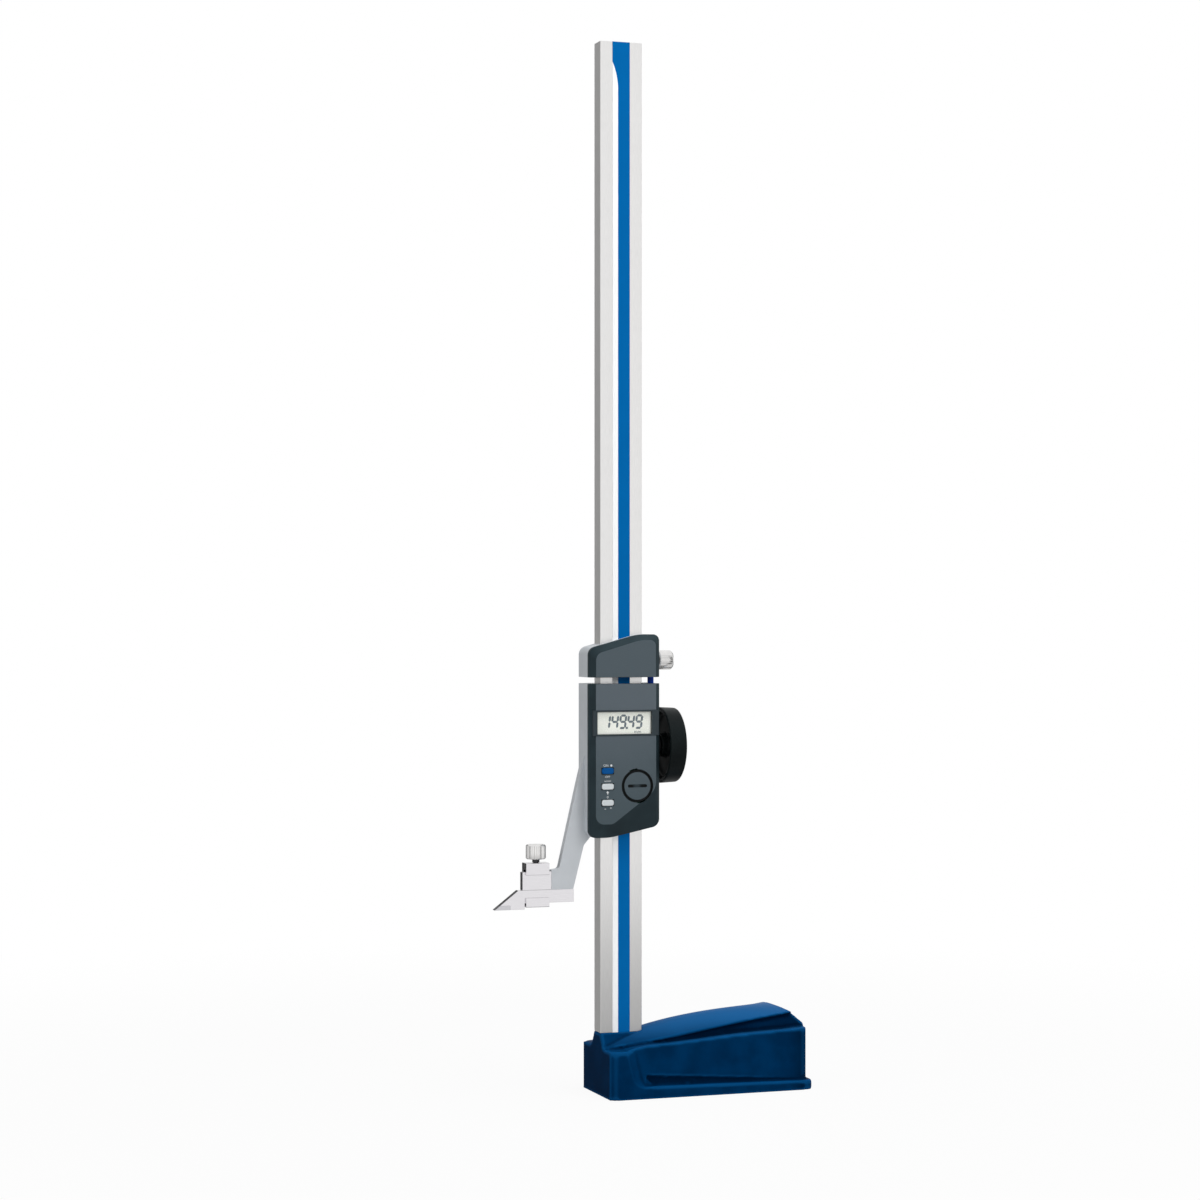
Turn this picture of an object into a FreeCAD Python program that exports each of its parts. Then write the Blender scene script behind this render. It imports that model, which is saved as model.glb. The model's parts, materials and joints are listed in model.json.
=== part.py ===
import FreeCAD, Part
import math
import os

# Digital height gauge, millimetres.
# Origin: column axis at the underside of the base. +X runs back along the base, away
# from the scriber. -Y faces the display. +Z is up along the column.

# Column and the strip let into its front
column_width = 35.0
column_depth = 15.0
column_top = 839.0
column_edge = 0.5
groove_width = 14.6
scale_thickness = 1.2
cover_thickness = 0.6
strip_side_gap = 0.05
cover_recess = 0.05

# Base casting
base_front = 18.2
base_back = 155.5
base_half_width = 36.0
base_corner_front = 6.0
base_corner_back = 9.0
block_height = 38.0
block_edge = 3.0
block_land = 13.1
block_knee = 20.1
block_toe = 35.0
block_knee_radius = 12.0
block_flank_run = 13.0
block_tuck = 2.0
shoulder_run = 16.1
shoulder_sink = 0.1
pedestal_top = 49.5
pedestal_flare = 9.0
pedestal_margin = 0.3
panel_inset = 3.0
panel_end_inset = 4.5
panel_top_front = 39.6
panel_top_back = 50.5
panel_corner = 7.0
crest_back = 64.8
crest_drop = 24.8
crest_power = 2.6
ridge_front_margin = 0.2
ridge_wide_inset = 7.0
ridge_back_inset = 4.0
ridge_wide_at = 25.0
ridge_edge_front = 38.2
ridge_edge_slope = 0.157
tail_drop = 13.5
tail_run = 17.0
tail_radius = 9.0
tail_lift = 0.4
ridge_station_shares = (0.43, 0.72)
rim_front = 10.0
rim_back = 7.6
toe_sink = 1.0
cove_start = 12.0
cove_outset = 0.15
cove_radius_front = 4.4
cove_radius_back = 0.4
grip_depth = 7.0
grip_power = 0.8
grip_lip_share = 0.35
grip_least = 0.3
ridge_land = 0.5
ridge_trim = 0.4
ridge_overrun = 10.0
rim_edge = 1.8
relief_depth = 1.5
relief_front = 30.0
relief_back = 128.0
relief_inset = 11.0
relief_corner = 8.0

# Screws that hold the column
bolt_radius = 3.0
bolt_head_radius = 5.0
bolt_head_height = 6.0
bolt_spacing = 18.0
bolt_seat = 26.0
bolt_engagement = 15.0
bolt_hole_gap = 0.3
bolt_hex_across = 5.0
bolt_hex_depth = 3.0

# Slider and head: common cross-section
body_half_width = 29.5
frame_front = 10.7
frame_back = 12.7
guide_gap = 0.05
cut_past = 1.0
cover_front = 19.5
cover_shoulder = 15.2
front_half_width = 25.3
cover_wall = 2.0

# Slider outline
slider_height = 122.2
slider_above_foot = 40.7
slider_bottom_bend = -12.0
slider_right_rise = 8.7
slider_corner_left = 6.0
slider_corner_right = 7.0
slider_bend_radius = 60.0
face_left_rise = 11.1
face_right_rise = 37.7
face_corner_left = 7.0
face_corner_right = 14.0
face_bend = -11.0
face_wall_left = 1.0
face_wall_right = -4.5
face_side_wall = 1.0

# Head outline
gap_above_slider = 5.1
head_height = 34.0
head_shoulder_drop = 11.0
head_bend = 12.0
head_corner_left = 7.0
head_corner_right = 5.0
head_bend_radius = 40.0
head_face_drop = 4.2
head_room_drop = 4.0

# Sensor window and gib
sensor_half_width = 9.0
sensor_above_bottom = 26.7
sensor_below_top = 27.5
sensor_thickness = 1.6
gib_half_width = 6.0
gib_thickness = 1.8
gib_inset = 8.0
gib_screw_radius = 2.0
gib_screw_length = 3.6
gib_screw_above_bottom = 26.7
gib_screw_below_top = 23.5
gib_hex_across = 2.0

# Arm and jaw
arm_half_thickness = 3.2
arm_root = -20.0
arm_below_top = 51.5
arm_shoulder_x = -35.0
arm_shoulder_rise = 84.4
arm_elbow_x = -47.6
arm_elbow_rise = 29.7
arm_wrist = -50.6
arm_heel_x = -30.0
arm_heel_rise = 34.4
rear_edge_radius = 2.0
foot_left = -57.0
foot_right = -38.8
jaw_left = -81.0
jaw_height = 14.4

# Scriber
reading = 149.49
scriber_rear = -38.3
scriber_height = 10.2
nose_drop = 4.86
scriber_top_left = -84.4
scriber_point = -104.0
nose_rear = -79.2
seat_gap = 0.05
tip_back = -91.0
tip_height = 3.4

# Clamp stirrup and its screw
clamp_left = -78.6
clamp_right = -59.4
clamp_above_jaw = 7.0
clamp_bridge = 5.2
clamp_lower_bridge = 3.2
clamp_upper_lip = 9.5
clamp_lower_lip = 7.5
clamp_lip_wall = 2.0
clamp_back_wall = 2.6
clamp_side_gap = 0.2
knob_radius = 8.0
knob_height = 11.6
knob_gap = 2.8
clamp_hole_gap = 0.05
clamp_screw_rest = 0.05
clamp_neck_gap = 0.3
knob_flutes = 28
flute_radius = 0.55
knob_edge = 0.8
clamp_screw_radius = 2.0
clamp_neck_radius = 2.9

# Lock screw of the head
lock_knob_radius = 7.75
lock_knob_start = 33.0
lock_knob_end = 45.0
lock_screw_radius = 2.5
lock_pad_radius = 2.5
lock_pad_length = 3.0
lock_above_bottom = 13.2
lock_collar = 1.6
lock_collar_gap = 0.4
lock_pad_gap = 0.05

# Rack, pinion and handwheel
gear_module = 0.8
pinion_teeth = 12
pressure_angle = 20.0
stub_addendum = 0.6
root_clearance = 0.15
backlash = 0.12
wheel_below_top = 50.0
rack_x = 25.2
rack_radius = 2.5
rack_tail = 9.5
rack_flat = 0.2
rack_in_head = 8.0
rack_bore_gap = 0.1
feed_down = 4.5
feed_up = 6.0
pinion_start = 22.7
pinion_width = 5.0
pinion_bore_gap = 0.45
pilot_radius = 2.0
pilot_length = 3.0
shaft_radius = 3.0
shaft_gap = 0.05
bush_end = 33.6
wheel_start = 34.3
wheel_width = 13.8
wheel_radius = 30.5
wheel_draft = 0.7
wheel_rim = 4.2
wheel_web = 3.0
wheel_dish = 6.5
wheel_hub_radius = 9.0
wheel_edge = 1.2
dimple_radius = 7.0
dimple_depth = 2.4
dimple_offset = 19.0
wheel_screw_radius = 1.5
wheel_screw_head = 2.8
wheel_screw_head_height = 2.4
wheel_screw_bite = 8.0
wheel_screw_gap = 0.2
wheel_screw_hex = 2.5
wheel_hub_recess = 3.0
wheel_floor = 1.6
shaft_inset = 4.0

# Display
bezel_half_width = 27.6
bezel_height = 20.4
bezel_below_top = 20.9
bezel_depth = 3.2
bezel_proud = 0.3
window_left = -24.0
window_right = 21.7
window_margin = 1.2
window_thickness = 1.0
window_recess = 0.7
panel_margin = 1.0
panel_thickness = 2.0
display_gap = 0.05
holder_wall = 2.0
spacer_gap = 0.3

# Board, cell and buttons
board_thickness = 1.0
board_inset = 3.4
cell_radius = 10.0
cell_thickness = 3.2
contact_thickness = 0.4
contact_radius = 6.0
cap_radius = 12.8
cap_x = 9.5
cap_above_bottom = 41.0
cap_front_radius = 11.3
cap_step = 1.0
cap_thickness = 2.3
cap_gap = 0.1
cap_slot_length = 16.0
cap_slot_width = 2.4
cap_slot_depth = 1.2
cap_lug_length = 0.9
cap_lug_thickness = 0.9
cap_lug_angle = 24.0
cap_lug_rest = 45.0
cap_turn = 60.0
button_x = -15.5
button_below_cap = 0.1
button_step_up = 12.4
button_step_down = 12.8
button_half_length = 4.9
button_half_height = 2.3
button_corner = 1.6
button_proud = 0.8
button_gap = 0.3
button_flange = 0.8
button_flange_thickness = 0.9
button_travel = 0.6
button_rest_gap = 0.2
mat_thickness = 1.4
mat_margin = 2.4

# Small screws in the rear
cover_screw_radius = 1.25
cover_screw_head = 2.4
cover_screw_head_height = 2.0
cover_screw_gap = 0.15
cover_screw_bite = 3.4
cover_screw_recess = 0.5
cross_half_length = 1.5
cross_half_width = 0.3
cross_depth = 0.8
boss_radius = 2.9
side_screw_x = 24.0
side_screw_from_top = 10.0
side_screw_from_bottom = 16.0
side_screw_below_wheel = 42.0
head_screw_from_bottom = 10.0
head_screw_from_top = 9.0

# Levels and gaps that follow from the sizes above
foot_bottom = reading + nose_drop + scriber_height + seat_gap
jaw_top = foot_bottom + jaw_height
clamp_top = jaw_top + clamp_above_jaw
slider_bottom = foot_bottom + slider_above_foot
slider_top = slider_bottom + slider_height
slider_bottom_right = slider_bottom + slider_right_rise
face_bottom_left = slider_bottom + face_left_rise
face_bottom_right = slider_bottom + face_right_rise
arm_top = slider_top - arm_below_top
sensor_low = slider_bottom + sensor_above_bottom
sensor_high = slider_top - sensor_below_top
gib_screw_low = slider_bottom + gib_screw_above_bottom
gib_screw_high = slider_top - gib_screw_below_top
wheel_height = slider_top - wheel_below_top
bezel_high = slider_top - bezel_below_top
bezel_low = bezel_high - bezel_height
window_low = bezel_low + window_margin
window_high = bezel_high - window_margin
cap_z = slider_bottom + cap_above_bottom
button_upper_z = cap_z - button_below_cap
button_blue_z = button_upper_z + button_step_up
button_lower_z = button_upper_z - button_step_down
groove_depth = scale_thickness + cover_thickness + cover_recess
body_end = base_back - panel_end_inset
panel_half = base_half_width - panel_inset
half_column_x = column_width / 2.0
half_column_y = column_depth / 2.0
pedestal_wide = half_column_y + pedestal_margin + pedestal_flare
ridge_front_half = pedestal_wide + ridge_front_margin
ridge_wide_half = panel_half - ridge_wide_inset
ridge_back_half = panel_half - ridge_back_inset
relief_half_width = base_half_width - relief_inset
head_bottom = slider_top + gap_above_slider
head_top = head_bottom + head_height
lock_height = head_bottom + lock_above_bottom
front_wall_back = cover_front - cover_wall
board_front = frame_front + board_thickness
pitch_radius = gear_module * pinion_teeth / 2.0
rack_pitch = math.pi * gear_module
tooth_addendum = stub_addendum * gear_module
rack_y = -(pitch_radius - tooth_addendum + rack_radius - rack_flat)
rack_low = wheel_height - feed_up - rack_tail
shaft_end = wheel_start + wheel_width - shaft_inset
clamp_axis_x = (clamp_left + clamp_right) / 2.0
scriber_top = foot_bottom - seat_gap
scriber_bottom = scriber_top - scriber_height

V = FreeCAD.Vector


def in_xy(z):
    return lambda a, b: V(a, b, z)


def in_xz(y):
    return lambda a, b: V(a, y, b)


def in_yz(x):
    return lambda a, b: V(x, a, b)


def outline(corners, place):
    """Closed wire through corners (a, b, radius), each corner rounded by its radius."""
    edges = []
    starts = []
    count = len(corners)
    for index in range(count):
        before = corners[index - 1]
        here = corners[index]
        after = corners[(index + 1) % count]
        starts.append(corner_arc(before, here, after))
    for index in range(count):
        first, middle, last = starts[index]
        if middle is not None:
            edges.append(Part.Arc(place(*first), place(*middle), place(*last)).toShape())
        following = starts[(index + 1) % count][0]
        if math.dist(last, following) > 1e-6:
            edges.append(Part.LineSegment(place(*last), place(*following)).toShape())
    return Part.Wire(edges)


def corner_arc(before, here, after):
    """Tangent points and middle of the arc that rounds one corner."""
    point = (here[0], here[1])
    radius = here[2] if len(here) > 2 else 0.0
    if radius == 0.0:
        return point, None, point
    to_before = unit(point, before)
    to_after = unit(point, after)
    cosine = to_before[0] * to_after[0] + to_before[1] * to_after[1]
    half_angle = math.acos(max(-1.0, min(1.0, cosine))) / 2.0
    reach = radius / math.tan(half_angle)
    first = (point[0] + reach * to_before[0], point[1] + reach * to_before[1])
    last = (point[0] + reach * to_after[0], point[1] + reach * to_after[1])
    bisector = unit((0.0, 0.0), (to_before[0] + to_after[0], to_before[1] + to_after[1]))
    depth = radius / math.sin(half_angle) - radius
    middle = (point[0] + depth * bisector[0], point[1] + depth * bisector[1])
    return first, middle, last


def unit(start, end):
    length = math.dist(start[:2], end[:2])
    return (end[0] - start[0]) / length, (end[1] - start[1]) / length


def prism(wire, direction):
    return Part.Face(wire).extrude(direction)


def block(low, high):
    size = [high[i] - low[i] for i in range(3)]
    return Part.makeBox(size[0], size[1], size[2], V(*low))


def rod(radius, start, end):
    """Round bar from start to end."""
    axis = V(*end) - V(*start)
    return Part.makeCylinder(radius, axis.Length, V(*start), axis)


def taper(radius_start, radius_end, start, end):
    axis = V(*end) - V(*start)
    return Part.makeCone(radius_start, radius_end, axis.Length, V(*start), axis)


def hexagon(across, start, end):
    """Hexagonal bar along a row axis, for a key socket."""
    axis = V(*end) - V(*start)
    turn = FreeCAD.Rotation(V(0, 0, 1), axis)
    points = []
    for index in range(7):
        angle = math.radians(60.0 * index)
        radius = across / math.sqrt(3.0)
        flat = V(radius * math.cos(angle), radius * math.sin(angle), 0)
        points.append(turn.multVec(flat) + V(*start))
    return prism(Part.makePolygon(points), axis)


def mirrored_pair(shape):
    """The shape and its mirror image across the plane Y = 0."""
    return [shape, shape.mirror(V(0, 0, 0), V(0, 1, 0))]


def single(shape):
    """The one solid of a shape."""
    clean = shape.removeSplitter()
    return clean.Solids[0] if len(clean.Solids) == 1 else clean


# Base casting

def base_plan(inset, corner_front, corner_back, front, back, place):
    half = base_half_width - inset
    corners = [
        (front, -half, corner_front),
        (back, -half, corner_back),
        (back, half, corner_back),
        (front, half, corner_front),
    ]
    return outline(corners, place)


def foot_plate():
    """Flat foot whose top slopes down towards the back."""
    plan = base_plan(0.0, base_corner_front, base_corner_back, -base_front, base_back, in_xy(0))
    plate = prism(plan, V(0, 0, block_height))
    slope = outline([(-base_front, 0), (base_back, 0), (base_back, rim_back), (-base_front, rim_front)],
                    in_xz(-base_half_width))
    plate = plate.common(prism(slope, V(0, 2 * base_half_width, 0)))
    rim = [e for e in plate.Edges
           if e.BoundBox.ZMin > rim_back - 0.01 and e.BoundBox.XMax > -base_front + base_corner_front + 0.01]
    return plate.makeFillet(rim_edge, rim)


def block_outline(shift, y):
    """Side view of the front block: its back runs down in a curve to the foot."""
    land = -base_front + block_land + shift
    knee = -base_front + block_knee + shift
    toe = -base_front + block_toe + shift
    corners = [
        (-base_front, 0),
        (toe, 0),
        (toe, rim_front - toe_sink),
        (knee, rim_front - toe_sink, block_knee_radius),
        (land, block_height),
        (-base_front, block_height),
    ]
    return outline(corners, in_xz(y))


def front_block():
    """Full-width block at the front, its flanks flaring in to the side panels."""
    inner = panel_half - block_tuck
    middle = prism(block_outline(block_flank_run, -inner), V(0, 2 * inner, 0))
    flank = Part.makeLoft([block_outline(block_flank_run, -inner), block_outline(0.0, -base_half_width)],
                          True, True)
    body = middle.multiFuse(mirrored_pair(flank)).removeSplitter()
    plan = base_plan(0.0, base_corner_front, base_corner_front, -base_front, base_back, in_xy(0))
    body = body.common(prism(plan, V(0, 0, block_height)))
    on_land = -base_front + block_land / 2.0
    top_edges = [e for e in body.Edges if e.BoundBox.ZMin > block_height - 0.01 and e.BoundBox.XMin < on_land]
    return body.makeFillet(block_edge, top_edges)


def ridge_half(x):
    """Half-width of the ridge: it widens quickly behind the column, then slowly."""
    if x < ridge_wide_at:
        share = (x + base_front) / (ridge_wide_at + base_front)
        return ridge_front_half + share * (ridge_wide_half - ridge_front_half)
    share = min(1.0, (x - ridge_wide_at) / (body_end - ridge_wide_at))
    return ridge_wide_half + share * (ridge_back_half - ridge_wide_half)


def share_along(x):
    """How far a place lies along the body, 0 at the front and 1 at the back."""
    return min(1.0, (x + base_front) / (body_end + base_front))


def panel_top(x):
    return panel_top_front + share_along(x) * (panel_top_back - panel_top_front)


def ridge_edge(x):
    return ridge_edge_front + ridge_edge_slope * (x + base_front)


def shoulder_start():
    return -base_front + block_land


def ridge_places():
    """Stations of the ridge and of the grip under it; the last lies past the back."""
    middle = [share * body_end for share in ridge_station_shares]
    shoulder = shoulder_start()
    return [-base_front, shoulder, shoulder + shoulder_run, ridge_wide_at, *middle, body_end + ridge_overrun]


def ridge_section(x):
    """Cross-section of the body: side panel, slope up to the ridge, domed crest."""
    edge_half = ridge_half(x)
    edge_height = ridge_edge(x)
    crest = crest_back - crest_drop * (1.0 - share_along(x)) ** crest_power
    place = in_yz(x)
    left_foot = place(-panel_half, 0)
    right_foot = place(panel_half, 0)
    left_panel = place(-panel_half, panel_top(x))
    right_panel = place(panel_half, panel_top(x))
    left_edge = place(-edge_half, edge_height)
    right_edge = place(edge_half, edge_height)
    edges = [
        Part.LineSegment(left_foot, left_panel).toShape(),
        Part.LineSegment(left_panel, left_edge).toShape(),
        Part.Arc(left_edge, place(0, crest), right_edge).toShape(),
        Part.LineSegment(right_edge, right_panel).toShape(),
        Part.LineSegment(right_panel, right_foot).toShape(),
        Part.LineSegment(right_foot, left_foot).toShape(),
    ]
    return Part.Wire(edges)


def ledge_height(x):
    """Height of the ledge beside the ridge: level on the front block, then along the panel's top."""
    if x <= shoulder_start():
        level = block_height - shoulder_sink
    else:
        level = panel_top(x) - grip_least
    return min(level, ridge_edge(x) - ridge_land - 2.0 * grip_least)


def grip_section(x):
    """Cross-section of the undercut for the fingers, between the ridge and the side panel."""
    edge = ridge_half(x) - ridge_trim
    lip_top = ridge_edge(x) - ridge_land
    depth = grip_least + grip_depth * share_along(x) ** grip_power
    ledge = ledge_height(x)
    lip = min(depth * grip_lip_share, (lip_top - ledge) / 2.0)
    outside = base_half_width + grip_depth
    above = crest_back + grip_depth
    corners = [
        (-edge, above),
        (-edge, lip_top),
        (-edge + depth, lip_top - lip),
        (-edge + depth, ledge),
        (-outside, ledge),
        (-outside, above),
    ]
    return outline(corners, in_yz(x))


def ridge_body():
    """Body between the side panels with the handle ridge on top."""
    body = Part.makeLoft([ridge_section(x) for x in ridge_places()], True, False)
    plan = base_plan(panel_inset, panel_corner, panel_corner, -body_end, body_end, in_xy(0))
    body = body.common(prism(plan, V(0, 0, crest_back + 1.0)))
    level = crest_back + tail_lift
    above = crest_back + tail_drop
    tail = outline([
        (body_end - tail_run, level, tail_radius),
        (body_end + 1.0, level - tail_drop * (tail_run + 1.0) / tail_run),
        (body_end + 1.0, above),
        (body_end - 2.5 * tail_run, above),
        (body_end - 2.5 * tail_run, level),
    ], in_xz(-base_half_width))
    return body.cut(prism(tail, V(0, 2 * base_half_width, 0)))


def grip_groove():
    """Undercut under the ridge, deeper and taller towards the back."""
    return Part.makeLoft([grip_section(x) for x in ridge_places()], True, False)


def foot_cove():
    """Hollow between the side panel and the foot rim, closing towards the back."""
    rim_slope = (rim_back - rim_front) / (base_back + base_front)
    rim_start = rim_front + rim_slope * (cove_start + base_front)
    start = (cove_start, -panel_half - cove_outset, rim_start + cove_radius_front)
    end = (base_back, -panel_half - cove_outset, rim_back + cove_radius_back)
    return taper(cove_radius_front, cove_radius_back, start, end)


def pedestal():
    """Foot of the column: its front and rear faces flare out towards the block."""
    half_x = half_column_x + pedestal_margin
    half_y = half_column_y + pedestal_margin
    upper = outline([(-half_x, -half_y), (half_x, -half_y), (half_x, half_y), (-half_x, half_y)],
                    in_xy(pedestal_top))
    wide = pedestal_wide
    lower = outline([(-half_x, -wide), (half_x, -wide), (half_x, wide), (-half_x, wide)],
                    in_xy(block_height - block_edge))
    return Part.makeLoft([lower, upper], True, True)


def bolt_places():
    return [-bolt_spacing / 2.0, bolt_spacing / 2.0]


def base_casting():
    body = ridge_body()
    for cutter in mirrored_pair(grip_groove()) + mirrored_pair(foot_cove()):
        body = body.cut(cutter)
    casting = foot_plate().multiFuse([front_block(), body, pedestal()]).removeSplitter()
    relief = outline([
        (relief_front, -relief_half_width, relief_corner),
        (relief_back, -relief_half_width, relief_corner),
        (relief_back, relief_half_width, relief_corner),
        (relief_front, relief_half_width, relief_corner),
    ], in_xy(-1.0))
    casting = casting.cut(prism(relief, V(0, 0, relief_depth + 1.0)))
    seat_x = half_column_x + pedestal_margin
    seat_y = half_column_y + pedestal_margin
    casting = casting.cut(block((-seat_x, -seat_y, pedestal_top), (seat_x, seat_y, crest_back)))
    for x in bolt_places():
        hole = rod(bolt_radius + bolt_hole_gap, (x, 0, -1), (x, 0, pedestal_top + 1))
        counterbore = rod(bolt_head_radius + bolt_hole_gap, (x, 0, -1), (x, 0, bolt_seat))
        casting = casting.cut(hole).cut(counterbore)
    return single(casting)


def column_bolts():
    bolts = []
    for x in bolt_places():
        head = rod(bolt_head_radius, (x, 0, bolt_seat - bolt_head_height), (x, 0, bolt_seat))
        shank = rod(bolt_radius, (x, 0, bolt_seat), (x, 0, pedestal_top + bolt_engagement))
        bottom = bolt_seat - bolt_head_height
        socket = hexagon(bolt_hex_across, (x, 0, bottom - 0.5), (x, 0, bottom + bolt_hex_depth))
        bolts.append(head.fuse(shank).removeSplitter().cut(socket))
    return Part.makeCompound(bolts)


# Column

def column():
    corners = [
        (-half_column_x, -half_column_y, column_edge),
        (half_column_x, -half_column_y, column_edge),
        (half_column_x, half_column_y, column_edge),
        (-half_column_x, half_column_y, column_edge),
    ]
    bar = prism(outline(corners, in_xy(pedestal_top)), V(0, 0, column_top - pedestal_top))
    groove = block((-groove_width / 2.0, -half_column_y - 1.0, pedestal_top - 1.0),
                   (groove_width / 2.0, -half_column_y + groove_depth, column_top + 1.0))
    bar = bar.cut(groove)
    for x in bolt_places():
        bar = bar.cut(rod(bolt_radius, (x, 0, pedestal_top - 1), (x, 0, pedestal_top + bolt_engagement + 2)))
    return single(bar)


def strip(front, back):
    half = groove_width / 2.0 - strip_side_gap
    return block((-half, front, pedestal_top), (half, back, column_top))


def scale_strip():
    back = -half_column_y + groove_depth
    return strip(back - scale_thickness, back)


def scale_cover():
    back = -half_column_y + groove_depth - scale_thickness
    return strip(back - cover_thickness, back)


# Slider frame and housing

def slider_outline(place):
    return outline([
        (-body_half_width, slider_top),
        (-body_half_width, slider_bottom, slider_corner_left),
        (slider_bottom_bend, slider_bottom, slider_bend_radius),
        (body_half_width, slider_bottom_right, slider_corner_right),
        (body_half_width, slider_top),
    ], place)


def slider_face(place):
    return outline([
        (-front_half_width, slider_top),
        (-front_half_width, face_bottom_left, face_corner_left),
        (face_bend, face_bottom_left, face_corner_left),
        (front_half_width, face_bottom_right, face_corner_right),
        (front_half_width, slider_top),
    ], place)


def head_outline(place, inset=0.0, drop=0.0):
    half = body_half_width - inset
    return outline([
        (-half, head_bottom),
        (half, head_bottom),
        (half, head_top - drop, head_corner_right),
        (head_bend, head_top - drop, head_bend_radius),
        (-half, head_top - head_shoulder_drop - drop, head_corner_left),
    ], place)


def column_opening(low, high, gib_side):
    """Guide opening around the column; the side with the gib is left wider at the back."""
    half_x = half_column_x + guide_gap
    half_y = half_column_y + guide_gap
    opening = block((-half_x, -half_y, low), (half_x, half_y, high))
    if gib_side:
        gib_space = block((-gib_half_width, 0, slider_bottom + gib_inset),
                          (gib_half_width, half_y + gib_thickness, slider_top - gib_inset))
        opening = opening.fuse(gib_space)
    return opening


def arm():
    """Slanted arm with its foot, a flat plate on the mid-plane of the column."""
    corners = [
        (arm_root - 4.0, arm_top),
        (-body_half_width, arm_top - 5.0),
        (arm_shoulder_x, foot_bottom + arm_shoulder_rise, 60.0),
        (arm_elbow_x, foot_bottom + arm_elbow_rise),
        (arm_wrist, jaw_top + 2.0, 3.0),
        (foot_left, jaw_top + 1.0, 1.0),
        (foot_left, foot_bottom),
        (foot_right, foot_bottom, 1.0),
        (arm_heel_x, foot_bottom + arm_heel_rise, 4.0),
        (arm_root - 4.0, slider_bottom + 0.8),
        (arm_root, slider_bottom + 3.0),
        (arm_root, arm_top),
    ]
    return prism(outline(corners, in_xz(-arm_half_thickness)), V(0, 2 * arm_half_thickness, 0))


def rack_bore(low, high):
    radius = rack_radius + rack_bore_gap
    return rod(radius, (rack_x, rack_y, low), (rack_x, rack_y, high))


def side_screw_places():
    return [
        (-side_screw_x, slider_top - side_screw_from_top),
        (-side_screw_x, slider_bottom + side_screw_from_bottom),
        (side_screw_x, wheel_height - side_screw_below_wheel),
    ]


def thread_hole(x, z):
    return rod(cover_screw_radius, (x, -frame_front - cover_screw_bite, z), (x, -frame_front, z))


def screw_passage(x, z):
    """Clearance hole and counterbore for a cover screw, bored from the rear."""
    seat_y = frame_back - cover_screw_head_height - cover_screw_recess
    outer = (x, frame_back + cut_past, z)
    passage = rod(cover_screw_radius + cover_screw_gap, (x, -frame_front - cut_past, z), outer)
    seat = rod(cover_screw_head + cover_screw_gap, (x, seat_y, z), outer)
    return passage.fuse(seat)


def slider_frame():
    outer = prism(slider_outline(in_xz(-frame_front)), V(0, frame_front + frame_back, 0))
    rear_edges = [e for e in outer.Edges
                  if e.BoundBox.YMin > frame_back - 0.01 and e.BoundBox.ZMin < slider_top - 1.0]
    outer = outer.makeFillet(rear_edge_radius, rear_edges)
    frame = outer.fuse(arm()).removeSplitter()
    frame = frame.cut(column_opening(slider_bottom - 5, slider_top + 5, True))
    window = block((-sensor_half_width, -frame_front - 1, sensor_low),
                   (sensor_half_width, -half_column_y, sensor_high))
    cutters = [window]
    for z in (gib_screw_low, (gib_screw_low + gib_screw_high) / 2.0, gib_screw_high):
        cutters.append(rod(gib_screw_radius, (0, half_column_y, z), (0, frame_back + 1, z)))
    for x, z in side_screw_places():
        cutters.append(screw_passage(x, z))
    cutters.append(rack_bore(rack_low - feed_down - 2.0, slider_top + 1.0))
    cavity = pitch_radius + tooth_addendum + pinion_bore_gap
    cutters.append(rod(cavity, (pinion_start - 0.4, 0, wheel_height), (body_half_width + 1, 0, wheel_height)))
    cutters.append(rod(pilot_radius + shaft_gap, (pinion_start - pilot_length - 0.4, 0, wheel_height),
                       (pinion_start, 0, wheel_height)))
    for cutter in cutters:
        frame = frame.cut(cutter)
    return single(frame)


def gib_strip():
    low = slider_bottom + gib_inset + 0.2
    high = slider_top - gib_inset - 0.2
    front = half_column_y + guide_gap
    return block((-gib_half_width + 0.1, front, low),
                 (gib_half_width - 0.1, front + gib_thickness - 0.05, high))


def gib_screws():
    screws = []
    start = half_column_y + guide_gap + gib_thickness
    for z in (gib_screw_low, (gib_screw_low + gib_screw_high) / 2.0, gib_screw_high):
        end = start + gib_screw_length - 0.4
        body = rod(gib_screw_radius, (0, start, z), (0, end, z))
        screws.append(body.cut(hexagon(gib_hex_across, (0, end - 1.6, z), (0, end + 0.5, z))))
    return Part.makeCompound(screws)


def moulded_cover(outer_wire, face_wire):
    """Straight flank up to the shoulder, then a bevel in to the front face."""
    flank = prism(outer_wire(in_xz(-frame_front)), V(0, frame_front - cover_shoulder, 0))
    bevel = Part.makeLoft([outer_wire(in_xz(-cover_shoulder)), face_wire(in_xz(-cover_front))], True, True)
    return flank.fuse(bevel).removeSplitter()


def cavity_of(outer_wire, back, front):
    """Inside of a cover: the outline moved in by the wall."""
    inner = outer_wire(in_xz(-back)).makeOffset2D(-cover_wall)
    return prism(inner, V(0, back - front, 0))


def stadium(half_length, half_height, corner, x, z, y, depth):
    corners = [
        (x - half_length, z - half_height, corner),
        (x + half_length, z - half_height, corner),
        (x + half_length, z + half_height, corner),
        (x - half_length, z + half_height, corner),
    ]
    return prism(outline(corners, in_xz(y)), V(0, depth, 0))


def button_heights():
    return [button_blue_z, button_upper_z, button_lower_z]


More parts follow.
